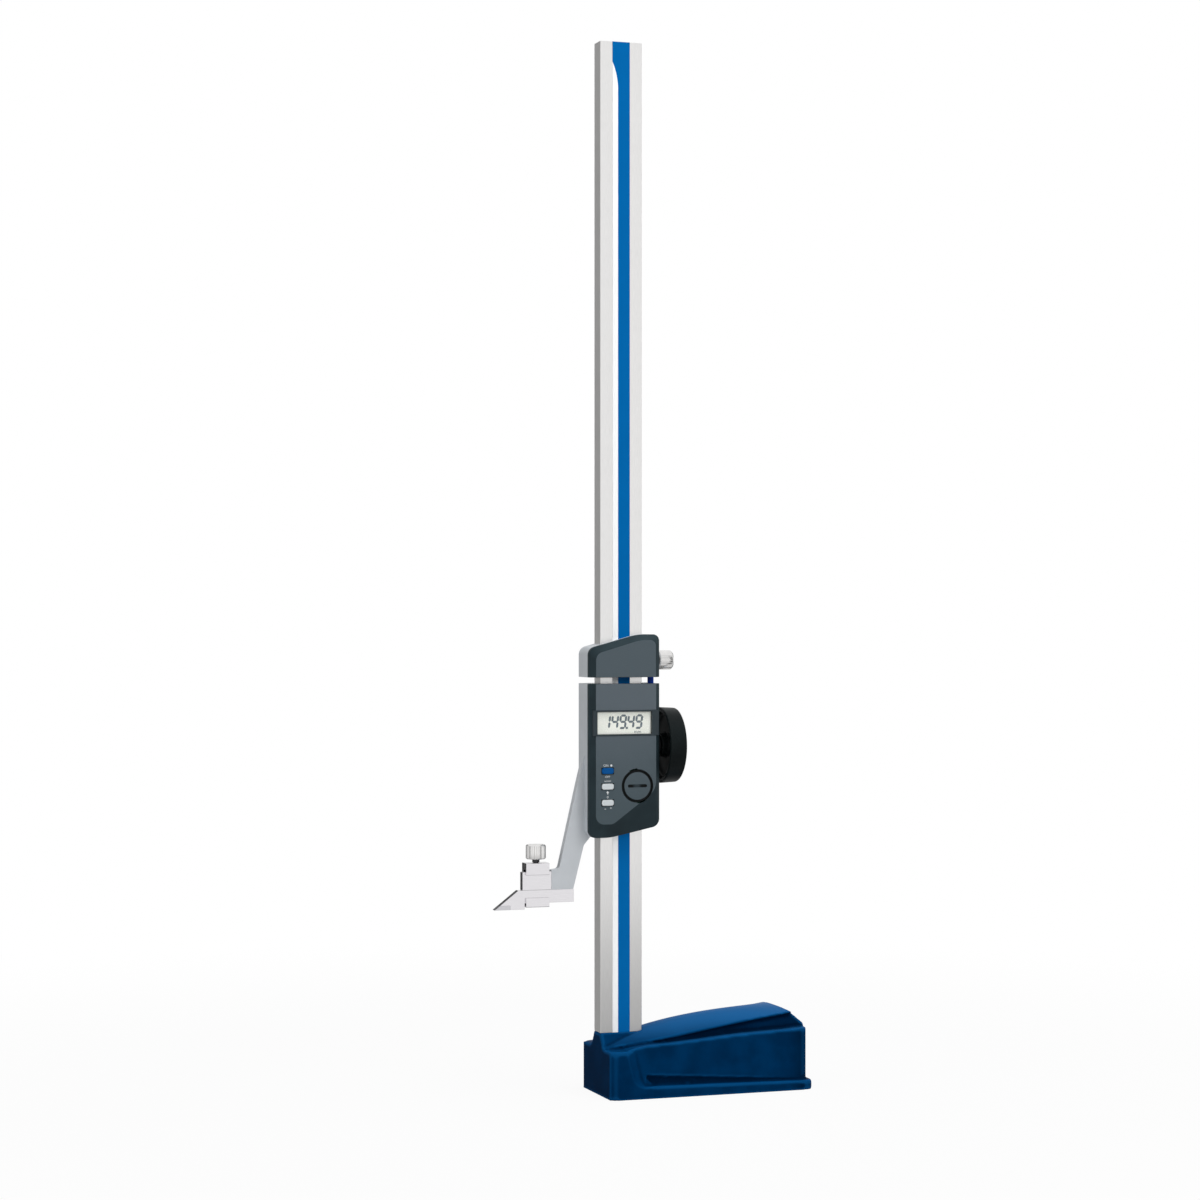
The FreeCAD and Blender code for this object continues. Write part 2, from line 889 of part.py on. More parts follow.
def lug_sector(radius, thickness_start, depth, turn, margin=0.0):
    """Two opposite bayonet lugs of the cell cover."""
    disc = rod(radius, (cap_x, thickness_start, cap_z), (cap_x, thickness_start + depth, cap_z))
    half = math.radians((cap_lug_angle + margin) / 2.0)
    reach = radius * 2.0
    lugs = []
    for base in (turn, turn + 180.0):
        middle = math.radians(base)
        points = [V(cap_x, thickness_start, cap_z)]
        for angle in (middle - half, middle + half):
            rim = (reach * math.cos(angle), reach * math.sin(angle))
            points.append(V(cap_x + rim[0], thickness_start, cap_z + rim[1]))
        points.append(points[0])
        wedge = prism(Part.makePolygon(points), V(0, depth, 0))
        lugs.append(disc.common(wedge))
    return lugs


def display_housing():
    shell = moulded_cover(slider_outline, slider_face)
    inside = cavity_of(slider_outline, frame_front - 1.0, cover_shoulder - 0.4)
    shell = shell.cut(inside)
    deeper = outline([
        (-front_half_width + face_side_wall, slider_top - cover_wall),
        (-front_half_width + face_side_wall, face_bottom_left + face_wall_left, face_corner_left),
        (face_bend, face_bottom_left + face_wall_left, face_corner_left),
        (front_half_width - face_side_wall, face_bottom_right + face_wall_right, face_corner_right),
        (front_half_width - face_side_wall, slider_top - cover_wall),
    ], in_xz(-frame_front))
    shell = shell.cut(prism(deeper, V(0, frame_front - front_wall_back, 0)))
    cutters = [
        block((-bezel_half_width - display_gap, -cover_front - 1, bezel_low - display_gap),
              (bezel_half_width + display_gap, -cover_front + bezel_depth, bezel_high + display_gap)),
        block((window_left - panel_margin - 0.4, -cover_front, window_low - panel_margin + 0.6),
              (window_right + panel_margin + 0.4, -frame_front, window_high + panel_margin - 0.6)),
        rod(cap_radius + cap_gap, (cap_x, -cover_front - 1, cap_z), (cap_x, -frame_front, cap_z)),
    ]
    cutters += lug_sector(cap_radius + cap_lug_length + 0.2, -cover_front - 1.0,
                          cover_front - front_wall_back + 1.5, cap_lug_rest + cap_turn, 6.0)
    for z in button_heights():
        cutters.append(stadium(button_half_length + button_gap, button_half_height + button_gap,
                               button_corner + button_gap, button_x, z, -cover_front - 1, cover_front))
    for cutter in cutters:
        shell = shell.cut(cutter)
    bosses = []
    for x, z in side_screw_places():
        bosses.append(rod(boss_radius, (x, -cover_shoulder - 0.5, z), (x, -frame_front, z)))
    shell = shell.multiFuse(bosses).removeSplitter()
    for x, z in side_screw_places():
        shell = shell.cut(thread_hole(x, z))
    return single(shell)


def rear_screws(places):
    screws = []
    for x, z in places:
        seat = frame_back - cover_screw_head_height - cover_screw_recess
        head = rod(cover_screw_head, (x, seat, z), (x, seat + cover_screw_head_height, z))
        shank = rod(cover_screw_radius, (x, -frame_front - cover_screw_bite + 0.2, z), (x, seat, z))
        slot_low = seat + cover_screw_head_height - cross_depth
        long = cross_half_length
        thin = cross_half_width
        cross = [
            block((x - long, slot_low, z - thin), (x + long, slot_low + 2, z + thin)),
            block((x - thin, slot_low, z - long), (x + thin, slot_low + 2, z + long)),
        ]
        screw = head.fuse(shank).removeSplitter()
        for cutter in cross:
            screw = screw.cut(cutter)
        screws.append(screw)
    return Part.makeCompound(screws)


# Display, board and cell

def display_bezel():
    front = -cover_front - bezel_proud
    back = -cover_front + bezel_depth - display_gap
    frame = block((-bezel_half_width, front, bezel_low), (bezel_half_width, back, bezel_high))
    opening = block((window_left, front - 1, window_low), (window_right, back + 1, window_high))
    return single(frame.cut(opening))


def display_window():
    front = -cover_front + window_recess
    return block((window_left + display_gap, front, window_low + display_gap),
                 (window_right - display_gap, front + window_thickness, window_high - display_gap))


def display_panel():
    front = -cover_front + bezel_depth
    return block((window_left - panel_margin, front, window_low - panel_margin + 1.0),
                 (window_right + panel_margin, front + panel_thickness, window_high + panel_margin - 1.0))


def panel_spacer():
    """Clear pad between window and panel."""
    front = -cover_front + window_recess + window_thickness
    back = -cover_front + bezel_depth
    return block((window_left + spacer_gap, front, window_low + spacer_gap),
                 (window_right - spacer_gap, back, window_high - spacer_gap))


def display_holder():
    front = -cover_front + bezel_depth + panel_thickness
    outer = block((window_left, front, window_low), (window_right, -board_front, window_high))
    wall = holder_wall
    inner = block((window_left + wall, front - 1, window_low + wall),
                  (window_right - wall, -board_front + 1, window_high - wall))
    return single(outer.cut(inner))


def circuit_board():
    wire = slider_outline(in_xz(-frame_front)).makeOffset2D(-board_inset)
    board = prism(wire, V(0, -board_thickness, 0))
    for x, z in side_screw_places():
        board = board.cut(rod(boss_radius + 0.3, (x, -board_front - 1, z), (x, -frame_front + 1, z)))
    return single(board)


def sensor_board():
    return block((-sensor_half_width + 0.2, -frame_front, sensor_low + 0.2),
                 (sensor_half_width - 0.2, -frame_front + sensor_thickness, sensor_high - 0.2))


def coin_cell():
    back = -board_front - contact_thickness
    disc = rod(cell_radius, (cap_x, back - cell_thickness, cap_z), (cap_x, back, cap_z))
    rims = [e for e in disc.Edges if abs(e.BoundBox.YMin - back) < 0.01 or e.BoundBox.YMax < back - 1.0]
    return disc.makeFillet(0.4, rims)


def cell_contact():
    return rod(contact_radius, (cap_x, -board_front - contact_thickness, cap_z), (cap_x, -board_front, cap_z))


def battery_cover():
    front = -cover_front
    back = front + cap_thickness
    face = rod(cap_front_radius, (cap_x, front, cap_z), (cap_x, back, cap_z))
    disc = rod(cap_radius, (cap_x, front + cap_step, cap_z), (cap_x, back, cap_z))
    slot = stadium(cap_slot_length / 2.0, cap_slot_width / 2.0, cap_slot_width / 2.0 - 0.1,
                   cap_x, cap_z, front - 1, cap_slot_depth + 1)
    lugs = lug_sector(cap_radius + cap_lug_length, -front_wall_back + 0.1, cap_lug_thickness, cap_lug_rest)
    stem = rod(cap_radius - 1.5, (cap_x, front + 0.5, cap_z),
               (cap_x, -front_wall_back + 0.1 + cap_lug_thickness, cap_z))
    return single(disc.multiFuse([face, stem] + lugs).removeSplitter().cut(slot))


def button(z):
    front = -cover_front - button_proud
    flange_front = -front_wall_back + button_rest_gap
    tip = -board_front - mat_thickness - button_travel - 0.1
    cap = stadium(button_half_length, button_half_height, button_corner, button_x, z, front, tip - front)
    flange = stadium(button_half_length + button_flange, button_half_height + button_flange,
                     button_corner + button_flange, button_x, z, flange_front, button_flange_thickness)
    return single(cap.fuse(flange))


def button_mat():
    heights = button_heights()
    half = button_half_length + mat_margin
    low = min(heights) - button_half_height - mat_margin
    high = max(heights) + button_half_height + mat_margin
    return block((button_x - half, -board_front - mat_thickness, low), (button_x + half, -board_front, high))


# Head

def head_screw_places():
    return [
        (-side_screw_x, head_bottom + head_screw_from_bottom),
        (side_screw_x - 0.5, head_top - head_screw_from_top),
    ]


def head_frame():
    outer = prism(head_outline(in_xz(-frame_front)), V(0, frame_front + frame_back, 0))
    rear_edges = [e for e in outer.Edges
                  if e.BoundBox.YMin > frame_back - 0.01 and e.BoundBox.ZMax > head_bottom + 1.0]
    frame = outer.makeFillet(rear_edge_radius, rear_edges)
    frame = frame.cut(column_opening(head_bottom - 5, head_top + 5, False))
    cutters = [
        rack_bore(head_bottom - 1.0, head_bottom + rack_in_head),
        rod(lock_pad_radius + lock_pad_gap, (half_column_x - cut_past, 0, lock_height),
            (body_half_width + cut_past, 0, lock_height)),
    ]
    for x, z in head_screw_places():
        cutters.append(screw_passage(x, z))
    for cutter in cutters:
        frame = frame.cut(cutter)
    return single(frame)


def head_cover():
    def outer_wire(place):
        return head_outline(place)

    def face_wire(place):
        return head_outline(place, body_half_width - front_half_width, head_face_drop)

    shell = moulded_cover(outer_wire, face_wire)
    clearance = outline([
        (-half_column_x, head_bottom + cover_wall),
        (half_column_x, head_bottom + cover_wall),
        (half_column_x, head_top - head_shoulder_drop - head_room_drop),
        (-half_column_x, head_top - head_shoulder_drop - head_room_drop),
    ], in_xz(-frame_front))
    shell = shell.cut(prism(clearance, V(0, frame_front - front_wall_back, 0)))
    for x, z in head_screw_places():
        shell = shell.cut(thread_hole(x, z))
    return single(shell)


def rack_rod():
    """Round rod with rack teeth on the side of the pinion."""
    top = head_bottom + rack_in_head
    bar = rod(rack_radius, (rack_x, rack_y, rack_low), (rack_x, rack_y, top))
    tip_line = -(pitch_radius - tooth_addendum)
    root_line = -(pitch_radius + tooth_addendum + root_clearance)
    slope = math.tan(math.radians(pressure_angle))
    reach = 2.0 * rack_radius
    cut_low = rack_low - rack_pitch
    cut_high = wheel_height + feed_down + 5.0 * rack_pitch
    flat = block((rack_x - reach, tip_line, cut_low), (rack_x + reach, tip_line + reach, cut_high))
    cutters = [flat]
    first = -int((wheel_height - rack_low) / rack_pitch) - 1
    last = int((cut_high - wheel_height) / rack_pitch)
    for index in range(first, last):
        middle = wheel_height + (index + 0.5) * rack_pitch
        half_pitch_gap = rack_pitch / 4.0 + backlash / 2.0
        half_root = half_pitch_gap - (tooth_addendum + root_clearance) * slope
        half_tip = half_pitch_gap + (tooth_addendum + 0.5) * slope
        tooth_space = outline([
            (root_line, middle - half_root),
            (tip_line + 0.5, middle - half_tip),
            (tip_line + 0.5, middle + half_tip),
            (root_line, middle + half_root),
        ], in_yz(rack_x - reach))
        cutters.append(prism(tooth_space, V(2 * reach, 0, 0)))
    return single(bar.cut(Part.makeCompound(cutters)))


def lock_pad():
    return rod(lock_pad_radius, (half_column_x + guide_gap, 0, lock_height),
               (half_column_x + guide_gap + lock_pad_length, 0, lock_height))


def fluted_knob(radius, height):
    """Knurled grip on the Z axis: straight flutes around a drum with broken edges."""
    drum = Part.makeCylinder(radius, height)
    drum = drum.makeChamfer(knob_edge, [e for e in drum.Edges if e.Length > radius * 5.0])
    flutes = []
    for index in range(knob_flutes):
        angle = 2.0 * math.pi * index / knob_flutes
        centre = ((radius + 0.15) * math.cos(angle), (radius + 0.15) * math.sin(angle))
        flutes.append(rod(flute_radius, (centre[0], centre[1], -1), (centre[0], centre[1], height + 1)))
    return drum.cut(Part.makeCompound(flutes))


def lock_screw():
    knob = fluted_knob(lock_knob_radius, lock_knob_end - lock_knob_start)
    knob.rotate(V(0, 0, 0), V(0, 1, 0), 90)
    knob.translate(V(lock_knob_start, 0, lock_height))
    start = half_column_x + guide_gap + lock_pad_length
    shank = rod(lock_screw_radius, (start, 0, lock_height), (lock_knob_start + 1, 0, lock_height))
    collar = rod(lock_screw_radius + lock_collar, (body_half_width + lock_collar_gap, 0, lock_height),
                 (lock_knob_start + 1, 0, lock_height))
    return single(knob.multiFuse([shank, collar]))


# Handwheel and pinion

def involute_point(base_radius, radius):
    """Angle by which the involute has turned at a radius."""
    if radius <= base_radius:
        return 0.0
    angle = math.acos(base_radius / radius)
    return math.tan(angle) - angle


def pinion():
    """Stub-tooth involute pinion; a tooth space faces the rack at rest."""
    base_radius = pitch_radius * math.cos(math.radians(pressure_angle))
    outer = pitch_radius + tooth_addendum
    root = pitch_radius - tooth_addendum - root_clearance
    half_tooth = math.pi / (2.0 * pinion_teeth) - backlash / (2.0 * pitch_radius)
    at_pitch = involute_point(base_radius, pitch_radius)
    steps = 4
    points = []
    for tooth in range(pinion_teeth):
        middle = math.pi + (tooth + 0.5) * 2.0 * math.pi / pinion_teeth
        flank = []
        flank.append((root, half_tooth + at_pitch))
        for step in range(steps + 1):
            radius = base_radius + (outer - base_radius) * step / steps
            flank.append((radius, half_tooth + at_pitch - involute_point(base_radius, radius)))
        for radius, angle in flank:
            points.append(polar(radius, middle - angle))
        for radius, angle in reversed(flank):
            points.append(polar(radius, middle + angle))
    points.append(points[0])
    return prism(Part.makePolygon(points), V(pinion_width, 0, 0))


def polar(radius, angle):
    return V(pinion_start, radius * math.cos(angle), wheel_height + radius * math.sin(angle))


def pinion_shaft():
    pilot = rod(pilot_radius, (pinion_start - pilot_length, 0, wheel_height), (pinion_start, 0, wheel_height))
    shaft_start = pinion_start + pinion_width
    shaft = rod(shaft_radius, (shaft_start, 0, wheel_height), (shaft_end, 0, wheel_height))
    body = pinion().multiFuse([pilot, shaft]).removeSplitter()
    return single(body.cut(rod(wheel_screw_radius, (shaft_end - wheel_screw_bite - cut_past, 0, wheel_height),
                               (shaft_end + 1, 0, wheel_height))))


def shaft_bush():
    outer = pitch_radius + tooth_addendum + pinion_bore_gap - 0.02
    start = pinion_start + pinion_width + 0.2
    bush = rod(outer, (start, 0, wheel_height), (body_half_width, 0, wheel_height))
    collar = rod(outer + 1.8, (body_half_width, 0, wheel_height), (bush_end, 0, wheel_height))
    bore = rod(shaft_radius + shaft_gap, (start - 1, 0, wheel_height), (bush_end + 1, 0, wheel_height))
    return single(bush.fuse(collar).removeSplitter().cut(bore))


def handwheel():
    """Dished wheel turned about its axis, with a finger dimple in the outer face."""
    inner = wheel_start
    outer = wheel_start + wheel_width
    web_inner = inner + wheel_dish
    web_outer = web_inner + wheel_web
    rim_inner = wheel_radius - wheel_rim
    hub_front = outer - wheel_hub_recess
    face = web_outer + wheel_floor
    corners = [
        (inner, 0),
        (inner, wheel_hub_radius, 1.0),
        (web_inner, wheel_hub_radius + 0.8, 1.5),
        (web_inner, rim_inner, 2.0),
        (inner, rim_inner + 0.8, 0.6),
        (inner, wheel_radius, wheel_edge),
        (outer, wheel_radius - wheel_draft, wheel_edge),
        (outer, rim_inner - 0.6, 0.6),
        (face, rim_inner - 3.4, 1.5),
        (face, wheel_hub_radius + 1.6, 1.5),
        (hub_front, wheel_hub_radius, 1.0),
        (hub_front, 0),
    ]
    profile = outline([(a, wheel_height + b, *r) for a, b, *r in corners], in_xz(0))
    wheel = Part.Face(profile).revolve(V(0, 0, wheel_height), V(1, 0, 0), 360)
    dome = (dimple_radius ** 2 + dimple_depth ** 2) / (2.0 * dimple_depth)
    dimple = Part.makeSphere(dome, V(face + dome - dimple_depth, dimple_offset, wheel_height))
    wheel = wheel.cut(dimple)
    wheel = wheel.cut(rod(shaft_radius, (inner - 1, 0, wheel_height), (shaft_end, 0, wheel_height)))
    hole_start = (shaft_end - cut_past, 0, wheel_height)
    wheel = wheel.cut(rod(wheel_screw_radius + wheel_screw_gap, hole_start, (outer, 0, wheel_height)))
    return single(wheel)


def wheel_screw():
    seat = wheel_start + wheel_width - wheel_hub_recess
    head = rod(wheel_screw_head, (seat, 0, wheel_height), (seat + wheel_screw_head_height, 0, wheel_height))
    tip = shaft_end - wheel_screw_bite
    shank = rod(wheel_screw_radius, (tip, 0, wheel_height), (seat, 0, wheel_height))
    top = seat + wheel_screw_head_height
    socket = hexagon(wheel_screw_hex, (top - 1.4, 0, wheel_height), (top + 0.5, 0, wheel_height))
    return single(head.fuse(shank).removeSplitter().cut(socket))


# Jaw, scriber and clamp

def jaw_block():
    corners = [
        (jaw_left, foot_bottom, 0.4),
        (foot_left, foot_bottom),
        (foot_left, jaw_top),
        (jaw_left, jaw_top, 0.8),
    ]
    return single(prism(outline(corners, in_xz(-arm_half_thickness)), V(0, 2 * arm_half_thickness, 0)))


def scriber_slope(z):
    """X of the sloping top of the nose at a height."""
    share = (scriber_top - z) / (scriber_top - reading)
    return scriber_top_left + share * (scriber_point - scriber_top_left)


def scriber_bar():
    ledge = reading + tip_height
    corners = [
        (scriber_rear, scriber_top, 0.4),
        (scriber_top_left, scriber_top),
        (scriber_slope(ledge), ledge),
        (tip_back, ledge),
        (tip_back, reading),
        (nose_rear, reading, 0.4),
        (nose_rear, scriber_bottom, 0.4),
        (scriber_rear, scriber_bottom, 0.4),
    ]
    return single(prism(outline(corners, in_xz(-arm_half_thickness)), V(0, 2 * arm_half_thickness, 0)))


def scriber_tip():
    ledge = reading + tip_height
    blunt = 0.25
    corners = [
        (tip_back, reading),
        (tip_back, ledge),
        (scriber_slope(ledge), ledge),
        (scriber_slope(reading + blunt), reading + blunt),
        (scriber_slope(reading + blunt), reading),
    ]
    return prism(outline(corners, in_xz(-arm_half_thickness)), V(0, 2 * arm_half_thickness, 0))


def clamp_frame():
    """Stirrup: open loop in side view, with a spine behind and short lips in front."""
    inner = arm_half_thickness + clamp_side_gap
    front = -inner - clamp_lip_wall
    back = inner + clamp_back_wall
    bottom = scriber_bottom - seat_gap - clamp_lower_bridge
    corners = [
        (front, clamp_top, 0.6),
        (front, clamp_top - clamp_upper_lip, 0.4),
        (-inner, clamp_top - clamp_upper_lip, 0.4),
        (-inner, clamp_top - clamp_bridge, 0.4),
        (inner, clamp_top - clamp_bridge, 0.4),
        (inner, bottom + clamp_lower_bridge, 0.4),
        (-inner, bottom + clamp_lower_bridge, 0.4),
        (-inner, bottom + clamp_lower_lip, 0.4),
        (front, bottom + clamp_lower_lip, 0.4),
        (front, bottom, 0.6),
        (back, bottom, 0.6),
        (back, clamp_top, 0.6),
    ]
    loop = prism(outline(corners, in_yz(clamp_left)), V(clamp_right - clamp_left, 0, 0))
    hole = rod(clamp_screw_radius + clamp_hole_gap, (clamp_axis_x, 0, jaw_top),
               (clamp_axis_x, 0, clamp_top + cut_past))
    return single(loop.cut(hole))


def clamp_screw():
    knob = fluted_knob(knob_radius, knob_height)
    knob.translate(V(clamp_axis_x, 0, clamp_top + knob_gap))
    inside = (clamp_axis_x, 0, clamp_top + knob_gap + cut_past)
    shank = rod(clamp_screw_radius, (clamp_axis_x, 0, jaw_top + clamp_screw_rest), inside)
    neck = rod(clamp_neck_radius, (clamp_axis_x, 0, clamp_top + clamp_neck_gap), inside)
    return single(knob.multiFuse([shank, neck]))


def nodes():
    return {
        "base_casting": base_casting(),
        "column": column(),
        "scale_strip": scale_strip(),
        "scale_cover": scale_cover(),
        "column_bolts": column_bolts(),
        "slider_frame": slider_frame(),
        "gib_strip": gib_strip(),
        "gib_screws": gib_screws(),
        "display_housing": display_housing(),
        "housing_screws": rear_screws(side_screw_places()),
        "display_bezel": display_bezel(),
        "display_window": display_window(),
        "display_spacer": panel_spacer(),
        "display_panel": display_panel(),
        "display_holder": display_holder(),
        "circuit_board": circuit_board(),
        "sensor_board": sensor_board(),
        "button_mat": button_mat(),
        "coin_cell": coin_cell(),
        "cell_contact": cell_contact(),
        "shaft_bush": shaft_bush(),
        "jaw_block": jaw_block(),
        "button_blue": button(button_blue_z),
        "button_upper": button(button_upper_z),
        "button_lower": button(button_lower_z),
        "battery_cover": battery_cover(),
        "handwheel": handwheel(),
        "pinion_shaft": pinion_shaft(),
        "wheel_screw": wheel_screw(),
        "clamp_frame": clamp_frame(),
        "clamp_screw": clamp_screw(),
        "scriber_bar": scriber_bar(),
        "scriber_tip": scriber_tip(),
        "head_frame": head_frame(),
        "head_cover": head_cover(),
        "head_screws": rear_screws(head_screw_places()),
        "rack_rod": rack_rod(),
        "lock_pad": lock_pad(),
        "lock_screw": lock_screw(),
    }


os.makedirs("parts", exist_ok=True)
for name, shape in nodes().items():
    if not shape.isValid():
        print("not valid:", name)
    print(name, len(shape.Solids), "solids", round(shape.Volume, 1), "mm3")
    shape.exportStep(f"parts/{name}.step")
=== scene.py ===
import json
import math

import bmesh
import bpy
from mathutils import Matrix, Vector


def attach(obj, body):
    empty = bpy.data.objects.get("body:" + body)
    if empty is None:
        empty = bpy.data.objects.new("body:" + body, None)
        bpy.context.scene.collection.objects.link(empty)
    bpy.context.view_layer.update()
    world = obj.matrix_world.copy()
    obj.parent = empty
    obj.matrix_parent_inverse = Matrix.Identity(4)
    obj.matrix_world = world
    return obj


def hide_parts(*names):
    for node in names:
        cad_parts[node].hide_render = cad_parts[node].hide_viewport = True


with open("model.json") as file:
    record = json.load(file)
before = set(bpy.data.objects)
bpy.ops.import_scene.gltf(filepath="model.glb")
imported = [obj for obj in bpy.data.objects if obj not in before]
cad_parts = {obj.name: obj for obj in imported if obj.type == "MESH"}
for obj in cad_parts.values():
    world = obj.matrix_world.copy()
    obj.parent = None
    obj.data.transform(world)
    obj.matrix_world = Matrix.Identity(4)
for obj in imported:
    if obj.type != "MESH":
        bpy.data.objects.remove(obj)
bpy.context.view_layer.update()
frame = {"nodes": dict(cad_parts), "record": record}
nodes = frame["nodes"]
print("frame loaded:", len(nodes), "nodes")

mm = 0.001


# A colour written as 0-255 screen values, turned into the linear one that shaders use
def tone(red, green, blue):
    linear = []
    for value in (red, green, blue):
        share = value / 255.0
        linear.append(share / 12.92 if share <= 0.04045 else ((share + 0.055) / 1.055) ** 2.4)
    return (*linear, 1.0)


# A colour with its channels scaled, none past 1
def scaled(colour, factor):
    return (*(min(1.0, channel * factor) for channel in colour[:3]), 1.0)


# Lowest and highest corner of a node
def boxOf(name):
    points = [vertex.co for vertex in nodes[name].data.vertices]
    low = Vector([min(point[axis] for point in points) for axis in range(3)])
    high = Vector([max(point[axis] for point in points) for axis in range(3)])
    return low, high


def middleOf(name):
    low, high = boxOf(name)
    return (low + high) / 2.0


# A socket that takes part in Python sums: each sum adds its Math node
class Wire:
    def __init__(self, board, socket):
        self.board = board
        self.socket = socket

    def maths(self, operation, first, second=0.0):
        return self.board.node("ShaderNodeMath", {"operation": operation}, {0: first, 1: second})

    def __add__(self, other):
        return self.maths("ADD", self, other)

    def __radd__(self, other):
        return self.maths("ADD", other, self)

    def __sub__(self, other):
        return self.maths("SUBTRACT", self, other)

    def __rsub__(self, other):
        return self.maths("SUBTRACT", other, self)

    def __mul__(self, other):
        return self.maths("MULTIPLY", self, other)

    def __rmul__(self, other):
        return self.maths("MULTIPLY", other, self)

    def __truediv__(self, other):
        return self.maths("DIVIDE", self, other)

    def __gt__(self, other):
        return self.maths("GREATER_THAN", self, other)

    def __lt__(self, other):
        return self.maths("LESS_THAN", self, other)

    def __pow__(self, other):
        return self.maths("POWER", self, other)

    def __abs__(self):
        return self.maths("ABSOLUTE", self)

    def atLeast(self, floor):
        return self.maths("MAXIMUM", self, floor)

    def atMost(self, ceiling):
        return self.maths("MINIMUM", self, ceiling)

    def of(self, operation):
        return self.maths(operation, self)

    # 0 below low, 1 above high, smooth between
    def rise(self, low, high):
        return self.board.node("ShaderNodeMapRange", {"interpolation_type": "SMOOTHSTEP"},
                               {"Value": self, "From Min": low, "From Max": high})

    # 1 around a direction in degrees, fading to 0 over the soft width on both sides
    def around(self, middle, half, soft):
        away = abs(self - middle)
        return 1.0 - away.atMost(360.0 - away).rise(half, half + soft)


# A node tree and the one method that adds any node to it
class Board:
    def __init__(self, tree):
        self.tree = tree

    # Settings first, then the values or links of the sockets
    def node(self, kind, settings=None, inputs=None, out=0):
        made = self.tree.nodes.new(kind)
        for key, value in (settings or {}).items():
            setattr(made, key, value)
        for key, value in (inputs or {}).items():
            wires = value if isinstance(value, list) else [value]
            for wire in wires:
                if isinstance(wire, Wire):
                    self.tree.links.new(wire.socket, made.inputs[key])
                else:
                    made.inputs[key].default_value = wire
        return Wire(self, made.outputs[out])

    def split(self, vector, letter):
        return self.node("ShaderNodeSeparateXYZ", inputs={0: vector}, out=letter)


# One material: a Principled skin and the nodes that vary it
class Finish(Board):
    def __init__(self, name, **flat):
        self.material = bpy.data.materials.new(name)
        self.material.use_nodes = True
        super().__init__(self.material.node_tree)
        self.tree.nodes.clear()
        self.output = self.tree.nodes.new("ShaderNodeOutputMaterial")
        self.skin = self.tree.nodes.new("ShaderNodeBsdfPrincipled")
        self.tree.links.new(self.skin.outputs[0], self.output.inputs["Surface"])
        for socket, value in flat.items():
            self.skin.inputs[socket.replace("_", " ")].default_value = value
        self.place = self.node("ShaderNodeTexCoord", out="Object")

    def axis(self, letter):
        return self.split(self.place, letter)

    # How far a face looks along one axis of its piece
    def facing(self, letter):
        return self.split(self.node("ShaderNodeTexCoord", out="Normal"), letter)

    def noise(self, size, detail=2.0, stretch=(1.0, 1.0, 1.0), rough=0.5):
        vector = self.node("ShaderNodeVectorMath", {"operation": "MULTIPLY"}, {0: self.place, 1: stretch})
        return self.node("ShaderNodeTexNoise", inputs={"Vector": vector, "Scale": 1.0 / size,
                                                       "Detail": detail, "Roughness": rough})

    # Of a colour mix, sockets 6 and 7 take the two colours and output 2 gives the result
    def mix(self, share, first, second):
        return self.node("ShaderNodeMix", {"data_type": "RGBA"}, {0: share, 6: first, 7: second}, out=2)

    def feed(self, socket, wire):
        self.tree.links.new(wire.socket, self.skin.inputs[socket])

    def bump(self, height, strength, distance):
        inputs = {"Height": height, "Strength": strength, "Distance": distance}
        self.feed("Normal", self.node("ShaderNodeBump", inputs=inputs))


# A Geometry Nodes tree with named sizes; it ends in real faces with a finish
class Recipe(Board):
    def __init__(self, name, sizes):
        super().__init__(bpy.data.node_groups.new(name, "GeometryNodeTree"))
        sockets = self.tree.interface
        sockets.new_socket("Shape", in_out="INPUT", socket_type="NodeSocketGeometry")
        for label, kind in sizes.items():
            sockets.new_socket(label, in_out="INPUT", socket_type="NodeSocket" + kind)
        sockets.new_socket("Finish", in_out="INPUT", socket_type="NodeSocketMaterial")
        sockets.new_socket("Shape", in_out="OUTPUT", socket_type="NodeSocketGeometry")
        self.given = self.tree.nodes.new("NodeGroupInput")
        self.made = self.tree.nodes.new("NodeGroupOutput")

    def size(self, label):
        return Wire(self, self.given.outputs[label])

    def close(self, shape):
        real = self.node("GeometryNodeRealizeInstances", inputs={0: shape})
        dressed = self.node("GeometryNodeSetMaterial",
                            inputs={"Geometry": real, "Material": self.size("Finish")})
        self.tree.links.new(dressed.socket, self.made.inputs[0])


